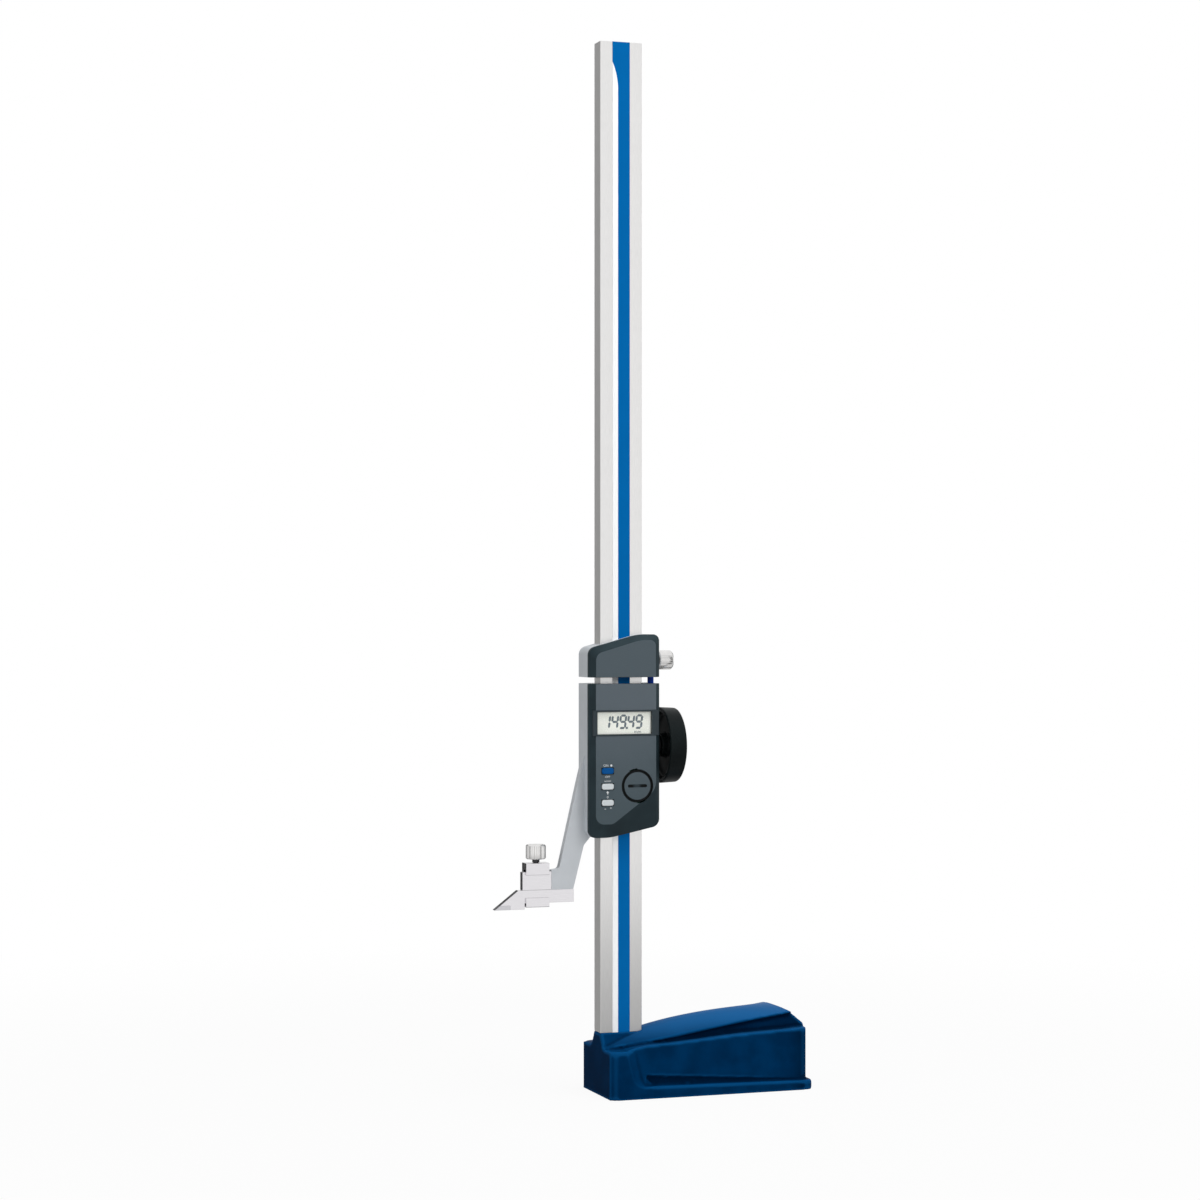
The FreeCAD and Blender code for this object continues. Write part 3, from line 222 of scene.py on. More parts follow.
# Paint on the casting: faint orange peel, a painted highlight on its upper faces and convex edges, painted
# shade in its hollows, on its end faces and towards its tail
def castPaint():
    values = {"deep": tone(0, 38, 73), "pale": tone(0, 47, 87), "paintedTopLight": tone(28, 86, 138),
              "rim": tone(8, 68, 116), "paintedHollowShade": tone(0, 18, 42), "end": tone(0, 22, 46), "gloss": 0.004,
              "cloud": 24 * mm, "contrast": (0.35, 0.7), "topFacing": (0.55, 0.95),
              "topHeight": (34 * mm, 62 * mm), "topLightShare": 0.8, "endFacing": (0.6, 0.95), "endShare": 0.6,
              "tail": (130 * mm, 147 * mm), "tailShare": 0.7, "rimBulge": (0.05, 0.5),
              "hollowSink": (0.04, 0.45), "curveShare": 0.7, "roughness": 0.26, "cloudRoughness": 0.14,
              "peel": 1.2 * mm, "peelStrength": 0.12, "peelDepth": 0.1 * mm}
    finish = Finish("castPaint", Specular_IOR_Level=values["gloss"])
    cloud = finish.noise(values["cloud"], detail=3.0)
    curve = finish.node("ShaderNodeAttribute", {"attribute_name": "curve"}, out="Fac")
    # Painted highlight: faces turned up, high on the casting, made lighter where the top lamp falls
    topLit = finish.facing("Z").rise(*values["topFacing"]) * finish.axis("Z").rise(*values["topHeight"])
    # Painted shade: faces turned along X darker, and the casting darker towards its tail
    endShade = abs(finish.facing("X")).rise(*values["endFacing"]) * values["endShare"]
    tail = finish.axis("X").rise(*values["tail"]) * values["tailShare"]
    # Painted shade in the hollows, where the stored bulge is below zero
    sunk = (0.0 - curve).rise(*values["hollowSink"])
    paint = finish.mix(cloud.rise(*values["contrast"]), values["deep"], values["pale"])
    paint = finish.mix(endShade.atLeast(tail), paint, values["end"])
    paint = finish.mix(topLit * values["topLightShare"], paint, values["paintedTopLight"])
    # Painted highlight along the convex edges, where the stored bulge is high
    paint = finish.mix(curve.rise(*values["rimBulge"]) * values["curveShare"], paint, values["rim"])
    finish.feed("Base Color", finish.mix(sunk * values["curveShare"], paint, values["paintedHollowShade"]))
    finish.feed("Roughness", values["roughness"] + cloud * values["cloudRoughness"])
    finish.bump(finish.noise(values["peel"]), values["peelStrength"], values["peelDepth"])
    return finish.material


# Steel ground along its length: long is the axis of the scratches, foot how far painted shade darkens its
# front and back low down
def groundSteel(name, base, long="z", roughness=0.3, grain=0.35, depth=0.02 * mm, foot=0.0):
    values = {"scratch": 0.25 * mm, "stretch": 0.03, "contrast": (0.3, 0.7),
              "footHeight": (20 * mm, 220 * mm), "footShade": tone(0, 0, 0), "sheen": 0.05,
              "scratchRoughness": 0.1, "cloud": 14 * mm, "cloudRoughness": 0.04, "strength": 0.25}
    finish = Finish(name, Metallic=1.0)
    stretch = tuple(values["stretch"] if axis == long else 1.0 for axis in "xyz")
    scratch = finish.noise(values["scratch"], detail=4.0, stretch=stretch, rough=0.7)
    cloud = finish.noise(values["cloud"])
    steel = finish.mix(scratch.rise(*values["contrast"]), scaled(base, 1.0 - grain * 0.5), base)
    # Painted shade: front and back faces darker low down on the column
    low = (1.0 - finish.axis("Z").rise(*values["footHeight"])) * abs(finish.facing("Y"))
    uneven = scratch * values["scratchRoughness"] + cloud * values["cloudRoughness"]
    finish.feed("Base Color", finish.mix(low * foot, steel, values["footShade"]))
    finish.feed("Roughness", roughness - values["sheen"] + uneven)
    finish.bump(scratch, values["strength"], depth)
    return finish.material


# Silver lacquer on the cast frames: a fine even grain with a touch of metal in it
def silverLacquer():
    values = {"metal": 0.38, "dark": tone(190, 195, 199), "light": tone(204, 208, 213), "cloud": 18 * mm,
              "roughness": 0.4, "grainRoughness": 0.12, "grain": 0.35 * mm, "strength": 0.16,
              "depth": 0.04 * mm}
    finish = Finish("silverLacquer", Metallic=values["metal"])
    grain = finish.noise(values["grain"], detail=3.0)
    finish.feed("Base Color", finish.mix(finish.noise(values["cloud"]), values["dark"], values["light"]))
    finish.feed("Roughness", values["roughness"] + grain * values["grainRoughness"])
    finish.bump(grain, values["strength"], values["depth"])
    return finish.material


# The printed strip: a white edge and a blue field, which the white leaves in a curve near the top
def stripPrint():
    values = {"white": tone(250, 251, 252), "blue": tone(0, 96, 164), "paleBlue": tone(1, 102, 172),
              "gloss": 0.03, "edge": -2.6 * mm, "soft": 0.03 * mm, "curveFrom": 38 * mm, "curveTo": 16 * mm,
              "across": 4.7 * mm, "cloud": 30 * mm, "roughness": 0.3, "cloudRoughness": 0.08}
    top = boxOf("scale_cover")[1].z
    bend = values["across"] / (values["curveFrom"] - values["curveTo"]) ** 2
    finish = Finish("stripPrint", Specular_IOR_Level=values["gloss"])
    cloud = finish.noise(values["cloud"])
    climb = (finish.axis("Z") - (top - values["curveFrom"])).atLeast(0.0)
    past = finish.axis("X") - (values["edge"] - climb * climb * bend)
    white = 1.0 - past.rise(-values["soft"], values["soft"])
    blue = finish.mix(cloud, values["blue"], values["paleBlue"])
    finish.feed("Base Color", finish.mix(white, blue, values["white"]))
    finish.feed("Roughness", values["roughness"] + cloud * values["cloudRoughness"])
    return finish.material


# Moulded plastic with a spark-eroded grain
def moulded(name, deep, pale, grainSize=0.5 * mm, roughness=0.5, strength=0.22, gloss=0.3):
    values = {"cloud": 25 * mm, "contrast": (0.3, 0.7), "grainShare": 0.3, "sheen": 0.06,
              "grainRoughness": 0.12, "depth": 0.06 * mm}
    finish = Finish(name, Specular_IOR_Level=gloss)
    grain = finish.noise(grainSize, detail=3.0, rough=0.6)
    cloud = finish.noise(values["cloud"]).rise(*values["contrast"])
    share = cloud * (1.0 - values["grainShare"]) + grain * values["grainShare"]
    finish.feed("Base Color", finish.mix(share, deep, pale))
    finish.feed("Roughness", roughness - values["sheen"] + grain * values["grainRoughness"])
    finish.bump(grain, strength, values["depth"])
    return finish.material


# Cover plastic: dark grained body and the paler satin foil on its flat front, with painted light: the foil
# lighter towards its top, and black painted shade in the gaps round the keys and the battery cover and in the
# slot's ends
def coverPlastic():
    values = {"foilShadedLow": tone(69, 81, 87), "foilLitHigh": tone(89, 98, 105), "bodyDeep": tone(30, 42, 47),
              "bodyPale": tone(37, 51, 56), "slotPale": tone(56, 67, 73), "recessShade": tone(8, 13, 14),
              "gloss": 0.16, "foilDepth": 0.04 * mm, "foilSoft": 0.01 * mm, "fade": (19.7 * mm, 7.5 * mm),
              "gap": 1.0 * mm, "headShade": 0.6, "cloud": 25 * mm, "cloudShare": 0.15, "contrast": (0.3, 0.7),
              "ring": (11.0 * mm, 13.3 * mm), "ringSoft": 0.05 * mm, "slot": (8.1 * mm, 1.5 * mm),
              "slotDark": (1.0 * mm, 4.5 * mm), "keyGap": (5.35 * mm, 2.75 * mm), "grain": 0.45 * mm,
              "roughness": 0.5, "foilSheen": 0.08, "grainRoughness": 0.1, "strength": 0.2,
              "foilFlat": 0.6, "depth": 0.06 * mm}
    finish = Finish("coverPlastic", Specular_IOR_Level=values["gloss"])
    grain = finish.noise(values["grain"], detail=3.0, rough=0.6)
    cloud = finish.noise(values["cloud"])
    low, high = boxOf("display_housing")
    split = (high.z + boxOf("head_cover")[0].z) / 2.0
    front = low.y + values["foilDepth"]
    foil = 1.0 - finish.axis("Y").rise(front - values["foilSoft"], front + values["foilSoft"])
    # Painted light over the foil: lighter towards the top of the housing, held darker on the head above the
    # joint
    onHead = finish.axis("Z").rise(split - values["gap"], split + values["gap"])
    litUpward = finish.axis("Z").rise(low.z + values["fade"][0], high.z - values["fade"][1])
    litUpward = litUpward * (1.0 - onHead * values["headShade"])
    share = litUpward * (1.0 - values["cloudShare"]) + cloud * values["cloudShare"]
    face = finish.mix(share, values["foilShadedLow"], values["foilLitHigh"])
    body = finish.mix(cloud.rise(*values["contrast"]), values["bodyDeep"], values["bodyPale"])

    cap = middleOf("battery_cover")
    aside = finish.axis("X") - cap.x
    aloft = finish.axis("Z") - cap.z
    away = (aside * aside + aloft * aloft) ** 0.5
    inner, outer = values["ring"]
    # Painted shade: a black ring in the gap round the battery cover
    gapShade = away.rise(inner - values["ringSoft"], inner) * (away < outer)
    halfLong, halfWide = values["slot"]
    inSlot = (abs(aside) < halfLong) * (abs(aloft) < halfWide) * (1.0 - foil)
    # Painted shade: the slot mid grey, darker towards its ends
    slot = finish.mix(abs(aside).rise(*values["slotDark"]), values["slotPale"], values["recessShade"])
    halfKey, halfTall = values["keyGap"]
    # Painted shade: black in the gaps round the keys
    for key in ("button_blue", "button_upper", "button_lower"):
        place = middleOf(key)
        across = abs(finish.axis("X") - place.x) - halfKey
        upright = abs(finish.axis("Z") - place.z) - halfTall
        gapShade = gapShade.atLeast(across.atLeast(upright) < 0.0)

    shaded = finish.mix(inSlot, finish.mix(foil, body, face), slot)
    uneven = grain * values["grainRoughness"] - foil * values["foilSheen"]
    finish.feed("Base Color", finish.mix(gapShade, shaded, values["recessShade"]))
    finish.feed("Roughness", values["roughness"] + uneven)
    finish.bump(grain * (1.0 - foil * values["foilFlat"]), values["strength"], values["depth"])
    return finish.material


# Smooth enamelled or gloss-moulded parts with a faint waviness
def glossy(name, colour, roughness=0.25, wave=6 * mm, gloss=0.35):
    values = {"lift": 1.08, "sheen": 0.03, "waveRoughness": 0.08, "strength": 0.05, "depth": 0.05 * mm}
    finish = Finish(name, Specular_IOR_Level=gloss)
    wavy = finish.noise(wave)
    finish.feed("Base Color", finish.mix(wavy, colour, scaled(colour, values["lift"])))
    finish.feed("Roughness", roughness - values["sheen"] + wavy * values["waveRoughness"])
    finish.bump(wavy, values["strength"], values["depth"])
    return finish.material


# Clear window: almost see-through, with a faint haze
def clearPlastic():
    values = {"alpha": 0.06, "index": 1.49, "deep": tone(225, 232, 222), "pale": tone(235, 240, 232),
              "haze": 8 * mm, "roughness": 0.05, "hazeRoughness": 0.05}
    finish = Finish("clearWindow", Alpha=values["alpha"], IOR=values["index"])
    haze = finish.noise(values["haze"])
    finish.feed("Base Color", finish.mix(haze, values["deep"], values["pale"]))
    finish.feed("Roughness", values["roughness"] + haze * values["hazeRoughness"])
    return finish.material


# Bright plated metal with fine turning marks; a neck below a limit on one axis is dark
def plated(name, base, roughness=0.22, letter="Z", limit=-1.0):
    values = {"neck": tone(58, 58, 60), "shade": 0.8, "cloud": 6 * mm, "mark": 0.3 * mm, "sheen": 0.05,
              "markRoughness": 0.12, "strength": 0.12, "depth": 0.03 * mm}
    finish = Finish(name, Metallic=1.0)
    speck = finish.noise(values["mark"], detail=3.0)
    metal = finish.mix(finish.noise(values["cloud"]), scaled(base, values["shade"]), base)
    finish.feed("Base Color", finish.mix(finish.axis(letter) < limit, metal, values["neck"]))
    finish.feed("Roughness", roughness - values["sheen"] + speck * values["markRoughness"])
    finish.bump(speck, values["strength"], values["depth"])
    return finish.material


knobMetal = (tone(238, 237, 236), 0.14)  # colour and roughness of all knurled screws
finishes = {
    "cast_blue": castPaint(),
    "ground_steel": groundSteel("columnSteel", tone(250, 249, 248), "z", 0.32, 0.2, foot=0.48),
    "scale_film": glossy("filmWhite", tone(220, 222, 220), 0.4),
    "cover_print": stripPrint(),
    "silver_cast": silverLacquer(),
    "brass": plated("turnedBrass", tone(196, 160, 92), 0.3),
    "dark_steel": plated("blackSteel", tone(62, 63, 66), 0.4),
    "housing_grey": coverPlastic(),
    "bezel_grey": moulded("bezelGrey", tone(36, 46, 51), tone(44, 54, 60), 0.8 * mm, 0.35, 0.08),
    "clear_window": clearPlastic(),
    "display_face": glossy("displayFace", tone(247, 250, 241), 0.5),
    "white_plastic": moulded("whitePlastic", tone(222, 222, 216), tone(230, 230, 226)),
    "board_green": glossy("boardGreen", tone(24, 92, 56), 0.35, 2 * mm),
    "rubber_grey": moulded("rubberGrey", tone(84, 84, 84), tone(96, 96, 96), 0.4 * mm, 0.7),
    "cell_steel": plated("cellSteel", tone(205, 205, 203), 0.2),
    "button_blue": glossy("buttonBlue", tone(0, 74, 136), 0.35, 3 * mm, 0.12),
    "button_white": glossy("buttonWhite", tone(198, 204, 207), 0.4, 3 * mm),
    "wheel_black": moulded("wheelBlack", tone(12, 16, 17), tone(17, 23, 24), 0.6 * mm, 0.4, 0.3, 0.08),
    "knurl_steel": plated("knurlSteel", *knobMetal),
    "hard_steel": groundSteel("hardSteel", tone(229, 227, 230), "x", 0.13, 0.14, 0.01 * mm),
    "carbide": groundSteel("carbide", tone(210, 209, 213), "x", 0.2, 0.2),
    "blue_steel": glossy("blueRod", tone(4, 52, 150), 0.3, 4 * mm, 0.1),
    "pad_plastic": moulded("padPlastic", tone(214, 208, 190), tone(222, 217, 200)),
}
displayInk = moulded("displayInk", tone(76, 92, 104), tone(86, 101, 112), 0.5 * mm, 0.5, 0.0)
printInk = moulded("printInk", tone(206, 210, 212), tone(222, 225, 226), 0.3 * mm, 0.5, 0.05)
slotOf = {row["node"]: row["material_slot"] for row in frame["record"]["subparts"]}
bodies = frame["record"]["behaviour"]["bodies"]
bodyOf = {name: body for body, members in bodies.items() for name in members}
for name, thing in nodes.items():
    thing.data.materials.clear()
    thing.data.materials.append(finishes[slotOf[name]])
print("finishes made:", len(finishes), "and two inks")


def linked(name, mesh):
    thing = bpy.data.objects.new(name, mesh)
    bpy.context.scene.collection.objects.link(thing)
    return thing


# Puts a finished piece on its body, in its slot and in place of its CAD nodes
def seat(thing, body, slot, *replaced, finish=None):
    thing.data.materials.clear()
    thing.data.materials.append(finish or finishes[slot])
    if replaced:
        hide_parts(*replaced)
    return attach(thing, body)


# Applies whatever modifiers a piece has and leaves a plain mesh
def settled(thing):
    graph = bpy.context.evaluated_depsgraph_get()
    mesh = bpy.data.meshes.new_from_object(thing.evaluated_get(graph))
    thing.modifiers.clear()
    thing.data = mesh
    return thing


# Grows a piece from a recipe with its sizes set by socket identifier
def grown(name, mesh, recipe, sizes):
    thing = linked(name, mesh)
    modifier = thing.modifiers.new("recipe", "NODES")
    modifier.node_group = recipe.tree
    for item in recipe.tree.interface.items_tree:
        if item.in_out == "INPUT" and item.name in sizes:
            modifier[item.identifier] = sizes[item.name]
    return settled(thing)


# Points closer than these merge; faces that differ by less than the angle in degrees count as flat
merging = {"turned": 0.001 * mm, "cad": 0.002 * mm, "print": 0.0005 * mm, "flat": 0.6}


# Faces outwards, smooth faces, edges sharper than the angle kept crisp, then the move to its place
def tidied(thing, angle, place):
    shape = bmesh.new()
    shape.from_mesh(thing.data)
    bmesh.ops.remove_doubles(shape, verts=shape.verts, dist=merging["turned"])
    bmesh.ops.recalc_face_normals(shape, faces=shape.faces)
    shape.to_mesh(thing.data)
    shape.free()
    thing.data.transform(place)
    thing.data.shade_smooth()
    thing.data.set_sharp_from_angle(angle=math.radians(angle))
    return thing


# A merged copy of a CAD node's mesh, flat faces joined again
def mergedCopy(name, node):
    mesh = nodes[node].data.copy()
    shape = bmesh.new()
    shape.from_mesh(mesh)
    bmesh.ops.remove_doubles(shape, verts=shape.verts, dist=merging["cad"])
    flat = math.radians(merging["flat"])
    bmesh.ops.dissolve_limit(shape, angle_limit=flat, verts=shape.verts, edges=shape.edges)
    bmesh.ops.recalc_face_normals(shape, faces=shape.faces)
    shape.to_mesh(mesh)
    shape.free()
    return linked(name, mesh)


# The same shape with its hard edges broken by a small round
def softened(name, node, width, angle=32.0, segments=2):
    thing = mergedCopy(name, node)
    thing.data.shade_smooth()
    bevel = thing.modifiers.new("edges", "BEVEL")
    bevel.width = width
    bevel.segments = segments
    bevel.limit_method = "ANGLE"
    bevel.angle_limit = math.radians(angle)
    bevel.use_clamp_overlap = True
    flat = thing.modifiers.new("flat", "WEIGHTED_NORMAL")
    flat.weight = 100
    flat.keep_sharp = True
    settled(thing)
    return seat(thing, bodyOf[node], slotOf[node], node)


softenedPieces = {
    "columnBar": ("column", 0.3 * mm),
    "housingShell": ("display_housing", 0.35 * mm),
    "sliderCasting": ("slider_frame", 0.3 * mm),
    "headCasting": ("head_frame", 0.3 * mm),
    "headShell": ("head_cover", 0.35 * mm),
    "displaySurround": ("display_bezel", 0.3 * mm),
    "clampStirrup": ("clamp_frame", 0.25 * mm),
    "jawPiece": ("jaw_block", 0.2 * mm),
    "scriberBlade": ("scriber_bar", 0.15 * mm),
    "cellCap": ("battery_cover", 0.25 * mm),
    "buttonBlueCap": ("button_blue", 0.4 * mm),
    "buttonUpperCap": ("button_upper", 0.4 * mm),
    "buttonLowerCap": ("button_lower", 0.4 * mm),
}
for name, (node, width) in softenedPieces.items():
    thing = softened(name, node, width)
    print(name, "from", node, len(thing.data.polygons), "faces")


# Stores how far each point bulges out (above 0) or sinks in (below 0), evened out with its neighbours
def curved(mesh, passes):
    unit = 0.1 * mm
    pairs = [tuple(edge.vertices) for edge in mesh.edges]
    points = [vertex.co.copy() for vertex in mesh.vertices]
    sums = [Vector() for point in points]
    counts = [0] * len(points)
    for one, other in pairs:
        sums[one] += points[other]
        sums[other] += points[one]
        counts[one] += 1
        counts[other] += 1
    bulge = [(point - total / count).dot(vertex.normal) / unit
             for point, total, count, vertex in zip(points, sums, counts, mesh.vertices)]
    for turn in range(passes):
        level = bulge[:]
        for one, other in pairs:
            level[one] += bulge[other]
            level[other] += bulge[one]
        bulge = [value / (count + 1) for value, count in zip(level, counts)]
    mesh.attributes.new("curve", "FLOAT", "POINT").data.foreach_set("value", bulge)


# The casting poured smooth: an even skin over the CAD copy, relaxed where nothing seats on it
def castingSkin():
    values = {"voxel": 1.0 * mm, "factor": 0.5, "passes": 5, "solid": 0.6 * mm, "free": 2.6 * mm,
              "seatLow": 46 * mm, "seatReach": 24 * mm, "seatShare": 0.25, "curvePasses": 3}
    thing = mergedCopy("castingSkin", "base_casting")
    even = thing.modifiers.new("even", "REMESH")
    even.mode = "VOXEL"
    even.voxel_size = values["voxel"]
    even.use_smooth_shade = True
    settled(thing)
    group = thing.vertex_groups.new(name="relax")
    for vertex in thing.data.vertices:
        share = (vertex.co.z - values["solid"]) / (values["free"] - values["solid"])
        if abs(vertex.co.x) < values["seatReach"] and vertex.co.z > values["seatLow"]:
            share = values["seatShare"]
        group.add([vertex.index], min(1.0, max(0.0, share)), "REPLACE")
    relax = thing.modifiers.new("relax", "SMOOTH")
    relax.factor = values["factor"]
    relax.iterations = values["passes"]
    relax.vertex_group = "relax"
    settled(thing)
    thing.vertex_groups.clear()
    thing.data.shade_smooth()
    curved(thing.data, values["curvePasses"])
    return seat(thing, "stand", "cast_blue", "base_casting")


print("casting skin:", len(castingSkin().data.polygons), "faces")


# Turns a profile about Z. Its points hold radius, reach of the flutes and height
def turnedRecipe():
    values = {"sharpness": 6.0, "weld": 0.001 * mm}
    sizes = {"Columns": "Int", "Flutes": "Int", "Flute Depth": "Float"}
    sizes.update({"Dimple " + label: "Float" for label in ("Offset", "Radius", "Depth", "Level")})
    recipe = Recipe("turnedPiece", sizes)
    profile = recipe.size("Shape")
    rows = recipe.node("GeometryNodeAttributeDomainSize", inputs={0: profile}, out="Point Count")
    grid = recipe.node("GeometryNodeMeshGrid", inputs={"Size X": 1.0, "Size Y": 1.0, "Vertices Y": rows,
                                                       "Vertices X": recipe.size("Columns") + 1.0})
    spot = recipe.node("GeometryNodeInputPosition")
    angle = (recipe.split(spot, "X") + 0.5) * math.tau
    index = ((recipe.split(spot, "Y") + 0.5) * (rows - 1.0)).of("ROUND")
    picked = recipe.node("GeometryNodeSampleIndex", {"data_type": "FLOAT_VECTOR"},
                         {"Geometry": profile, "Value": spot, "Index": index})
    groove = (angle * recipe.size("Flutes")).of("COSINE").atLeast(0.0) ** values["sharpness"]
    radius = recipe.split(picked, "X") - recipe.split(picked, "Y") * groove * recipe.size("Flute Depth")
    height = recipe.split(picked, "Z")
    across = radius * angle.of("COSINE")
    along = radius * angle.of("SINE")

    # The dimple is part of a ball, sunk into the faces above its level
    aside = along - recipe.size("Dimple Offset")
    wide = recipe.size("Dimple Radius")
    deep = recipe.size("Dimple Depth")
    ball = (wide * wide + deep * deep) / (deep * 2.0)
    drop = (ball * ball - across * across - aside * aside).atLeast(0.0).of("SQRT") - ball + deep
    sunk = drop.atLeast(0.0) * (height > recipe.size("Dimple Level"))
    target = recipe.node("ShaderNodeCombineXYZ", inputs={0: across, 1: along, 2: height - sunk})
    moved = recipe.node("GeometryNodeSetPosition", inputs={"Geometry": grid, "Position": target})
    recipe.close(recipe.node("GeometryNodeMergeByDistance",
                             inputs={"Geometry": moved, "Distance": values["weld"]}))
    return recipe


# Sinks a cross into a turned screw and sets one at every point of the shape
def screwRecipe():
    recipe = Recipe("crossScrews", {"Blank": "Object", "Head Top": "Float", "Cross Length": "Float",
                                    "Cross Width": "Float", "Cross Depth": "Float"})
    blank = recipe.node("GeometryNodeObjectInfo", inputs={"Object": recipe.size("Blank")}, out="Geometry")
    long = recipe.size("Cross Length")
    wide = recipe.size("Cross Width")
    deep = recipe.size("Cross Depth") * 2.0
    level = recipe.node("ShaderNodeCombineXYZ", inputs={1: recipe.size("Head Top")})
    arms = []
    for sides in ((long, deep, wide), (wide, deep, long)):
        size = recipe.node("ShaderNodeCombineXYZ", inputs=dict(enumerate(sides)))
        arm = recipe.node("GeometryNodeMeshCube", inputs={"Size": size})
        arms.append(recipe.node("GeometryNodeTransform", inputs={"Geometry": arm, "Translation": level}))
    cut = recipe.node("GeometryNodeMeshBoolean", {"operation": "DIFFERENCE", "solver": "EXACT"},
                      {"Mesh 1": blank, "Mesh 2": arms})
    recipe.close(recipe.node("GeometryNodeInstanceOnPoints",
                             inputs={"Points": recipe.size("Shape"), "Instance": cut}))
    return recipe


# Corners (radius, height, round) as profile points, each round an arc of a few points
def roundedProfile(corners, step=None):
    points = []
    for index, corner in enumerate(corners):
        here = Vector(corner[:2])
        if len(corner) < 3:
            points.append(here)
            continue
        before = Vector(corners[index - 1][:2])
        after = Vector(corners[index + 1][:2])
        start = here + (before - here).normalized() * corner[2]
        end = here + (after - here).normalized() * corner[2]
        for share in (0.0, 0.25, 0.5, 0.75, 1.0):
            points.append(start * (1 - share) ** 2 + here * 2 * share * (1 - share) + end * share ** 2)
    if step:
        points = stepped(points, step)
    return [(point[0], 0.0, point[1]) for point in points]


# Long runs of a profile cut into short ones
def stepped(points, step):
    finer = [points[0]]
    for start, end in zip(points, points[1:]):
        count = max(1, round((end - start).length / step))
        finer += [start.lerp(end, part / count) for part in range(1, count + 1)]
    return finer


def pointMesh(name, points):
    mesh = bpy.data.meshes.new(name)
    mesh.from_pydata(points, [], [])
    return mesh


turned = turnedRecipe()
plainTurn = {"Flutes": 1, "Flute Depth": 0.0, "Dimple Radius": 0.0, "Dimple Depth": 1.0, "Dimple Level": 1.0}
alongX = Matrix.Rotation(math.radians(90.0), 4, "Y")
alongY = Matrix.Rotation(math.radians(-90.0), 4, "X")


# Dished wheel with a finger dimple, turned about X; its corners are (radius, height, round) in mm
def feedWheel():
    values = {"columns": 224, "step": 0.9 * mm, "dimpleOffset": 19.0 * mm, "dimpleRadius": 7.0 * mm,
              "dimpleDepth": 2.4 * mm, "dimpleLevel": 10.9 * mm,
              "corners": [(3.0, 0.0), (9.0, 0.0, 1.0), (9.8, 6.5, 1.5), (26.3, 6.5, 2.0), (27.1, 0.0, 0.6),
                          (30.5, 0.0, 1.2), (29.8, 13.8, 1.2), (25.7, 13.8, 0.6), (22.9, 11.1, 1.5),
                          (10.6, 11.1, 1.5), (9.0, 10.8, 1.0), (1.7, 10.8), (1.7, 9.8), (3.0, 9.8),
                          (3.0, 0.0)]}
    corners = [tuple(value * mm for value in corner) for corner in values["corners"]]
    profile = pointMesh("wheelProfile", roundedProfile(corners, values["step"]))
    sizes = {**plainTurn, "Columns": values["columns"], "Dimple Offset": values["dimpleOffset"],
             "Dimple Radius": values["dimpleRadius"], "Dimple Depth": values["dimpleDepth"],
             "Dimple Level": values["dimpleLevel"], "Finish": finishes["wheel_black"]}
    thing = grown("feedWheel", profile, turned, sizes)
    place = Vector((boxOf("handwheel")[0].x, 0.0, middleOf("handwheel").z))
    tidied(thing, 38.0, Matrix.Translation(place) @ alongX)
    return seat(thing, "handwheel", "wheel_black", "handwheel")


# A knurled knob with its neck and shank; heights are measured from the underside of the drum
def knurledKnob(name, body, letter, own, place):
    values = {"edge": 0.8 * mm, "seatInset": 1.1 * mm, "seatLift": 0.15 * mm, "skim": 0.12 * mm,
              "fade": 0.35 * mm, "crownInset": 1.2 * mm, "crownSlope": 0.5 * mm, "crownDrop": 0.35 * mm,
              "tipRound": 0.3 * mm, "flutes": 28, "columns": 8, "fluteDepth": 0.28 * mm}
    radius, drum, shank = own["radius"], own["drum"], own["shank"]
    tip, neck, neckLow = own["tip"], own["neck"], own["neckLow"]
    edge, skim, fade = values["edge"], values["skim"], values["fade"]
    foot = radius - edge
    crown = foot - values["crownInset"]
    sunk = drum - values["crownDrop"]
    under = [(0.0, tip), (shank, tip + values["tipRound"]), (shank, neckLow), (neck, neckLow), (neck, 0.0),
             (foot - values["seatInset"], 0.0), (foot, values["seatLift"])]
    sides = [(radius - skim, 0.0, edge), (radius, 1.0, edge + fade),
             (radius, 1.0, drum - edge - fade), (radius - skim, 0.0, drum - edge)]
    over = [(foot, drum), (crown, drum), (crown - values["crownSlope"], sunk), (0.0, sunk)]
    profile = pointMesh(name + "Profile", roundedProfile(under) + sides + roundedProfile(over))
    sizes = {**plainTurn, "Columns": values["flutes"] * values["columns"], "Flutes": values["flutes"],
             "Flute Depth": values["fluteDepth"], "Finish": finishes["knurl_steel"]}
    thing = grown(name, profile, turned, sizes)
    tidied(thing, 30.0, place)
    metal = plated(name + "Steel", *knobMetal, letter, place.translation["XYZ".index(letter)])
    return seat(thing, body, "knurl_steel", body, finish=metal)


def lockKnob():
    values = {"radius": 7.75 * mm, "drum": 12.0 * mm, "shank": 2.5 * mm, "tip": -12.45 * mm,
              "neck": 4.1 * mm, "neckLow": -3.1 * mm}
    outer = boxOf("lock_screw")[1].x
    place = Matrix.Translation((outer - values["drum"], 0.0, middleOf("lock_screw").z)) @ alongX
    return knurledKnob("lockKnob", "lock_screw", "X", values, place)


def clampKnob():
    values = {"radius": 8.0 * mm, "drum": 11.6 * mm, "shank": 2.0 * mm, "tip": -9.75 * mm,
              "neck": 2.9 * mm, "neckLow": -2.5 * mm}
    top = boxOf("clamp_screw")[1].z
    place = Matrix.Translation((middleOf("clamp_screw").x, 0.0, top - values["drum"]))
    return knurledKnob("clampKnob", "clamp_screw", "Z", values, place)


for piece in (feedWheel(), lockKnob(), clampKnob()):
    print(piece.name, len(piece.data.polygons), "faces")


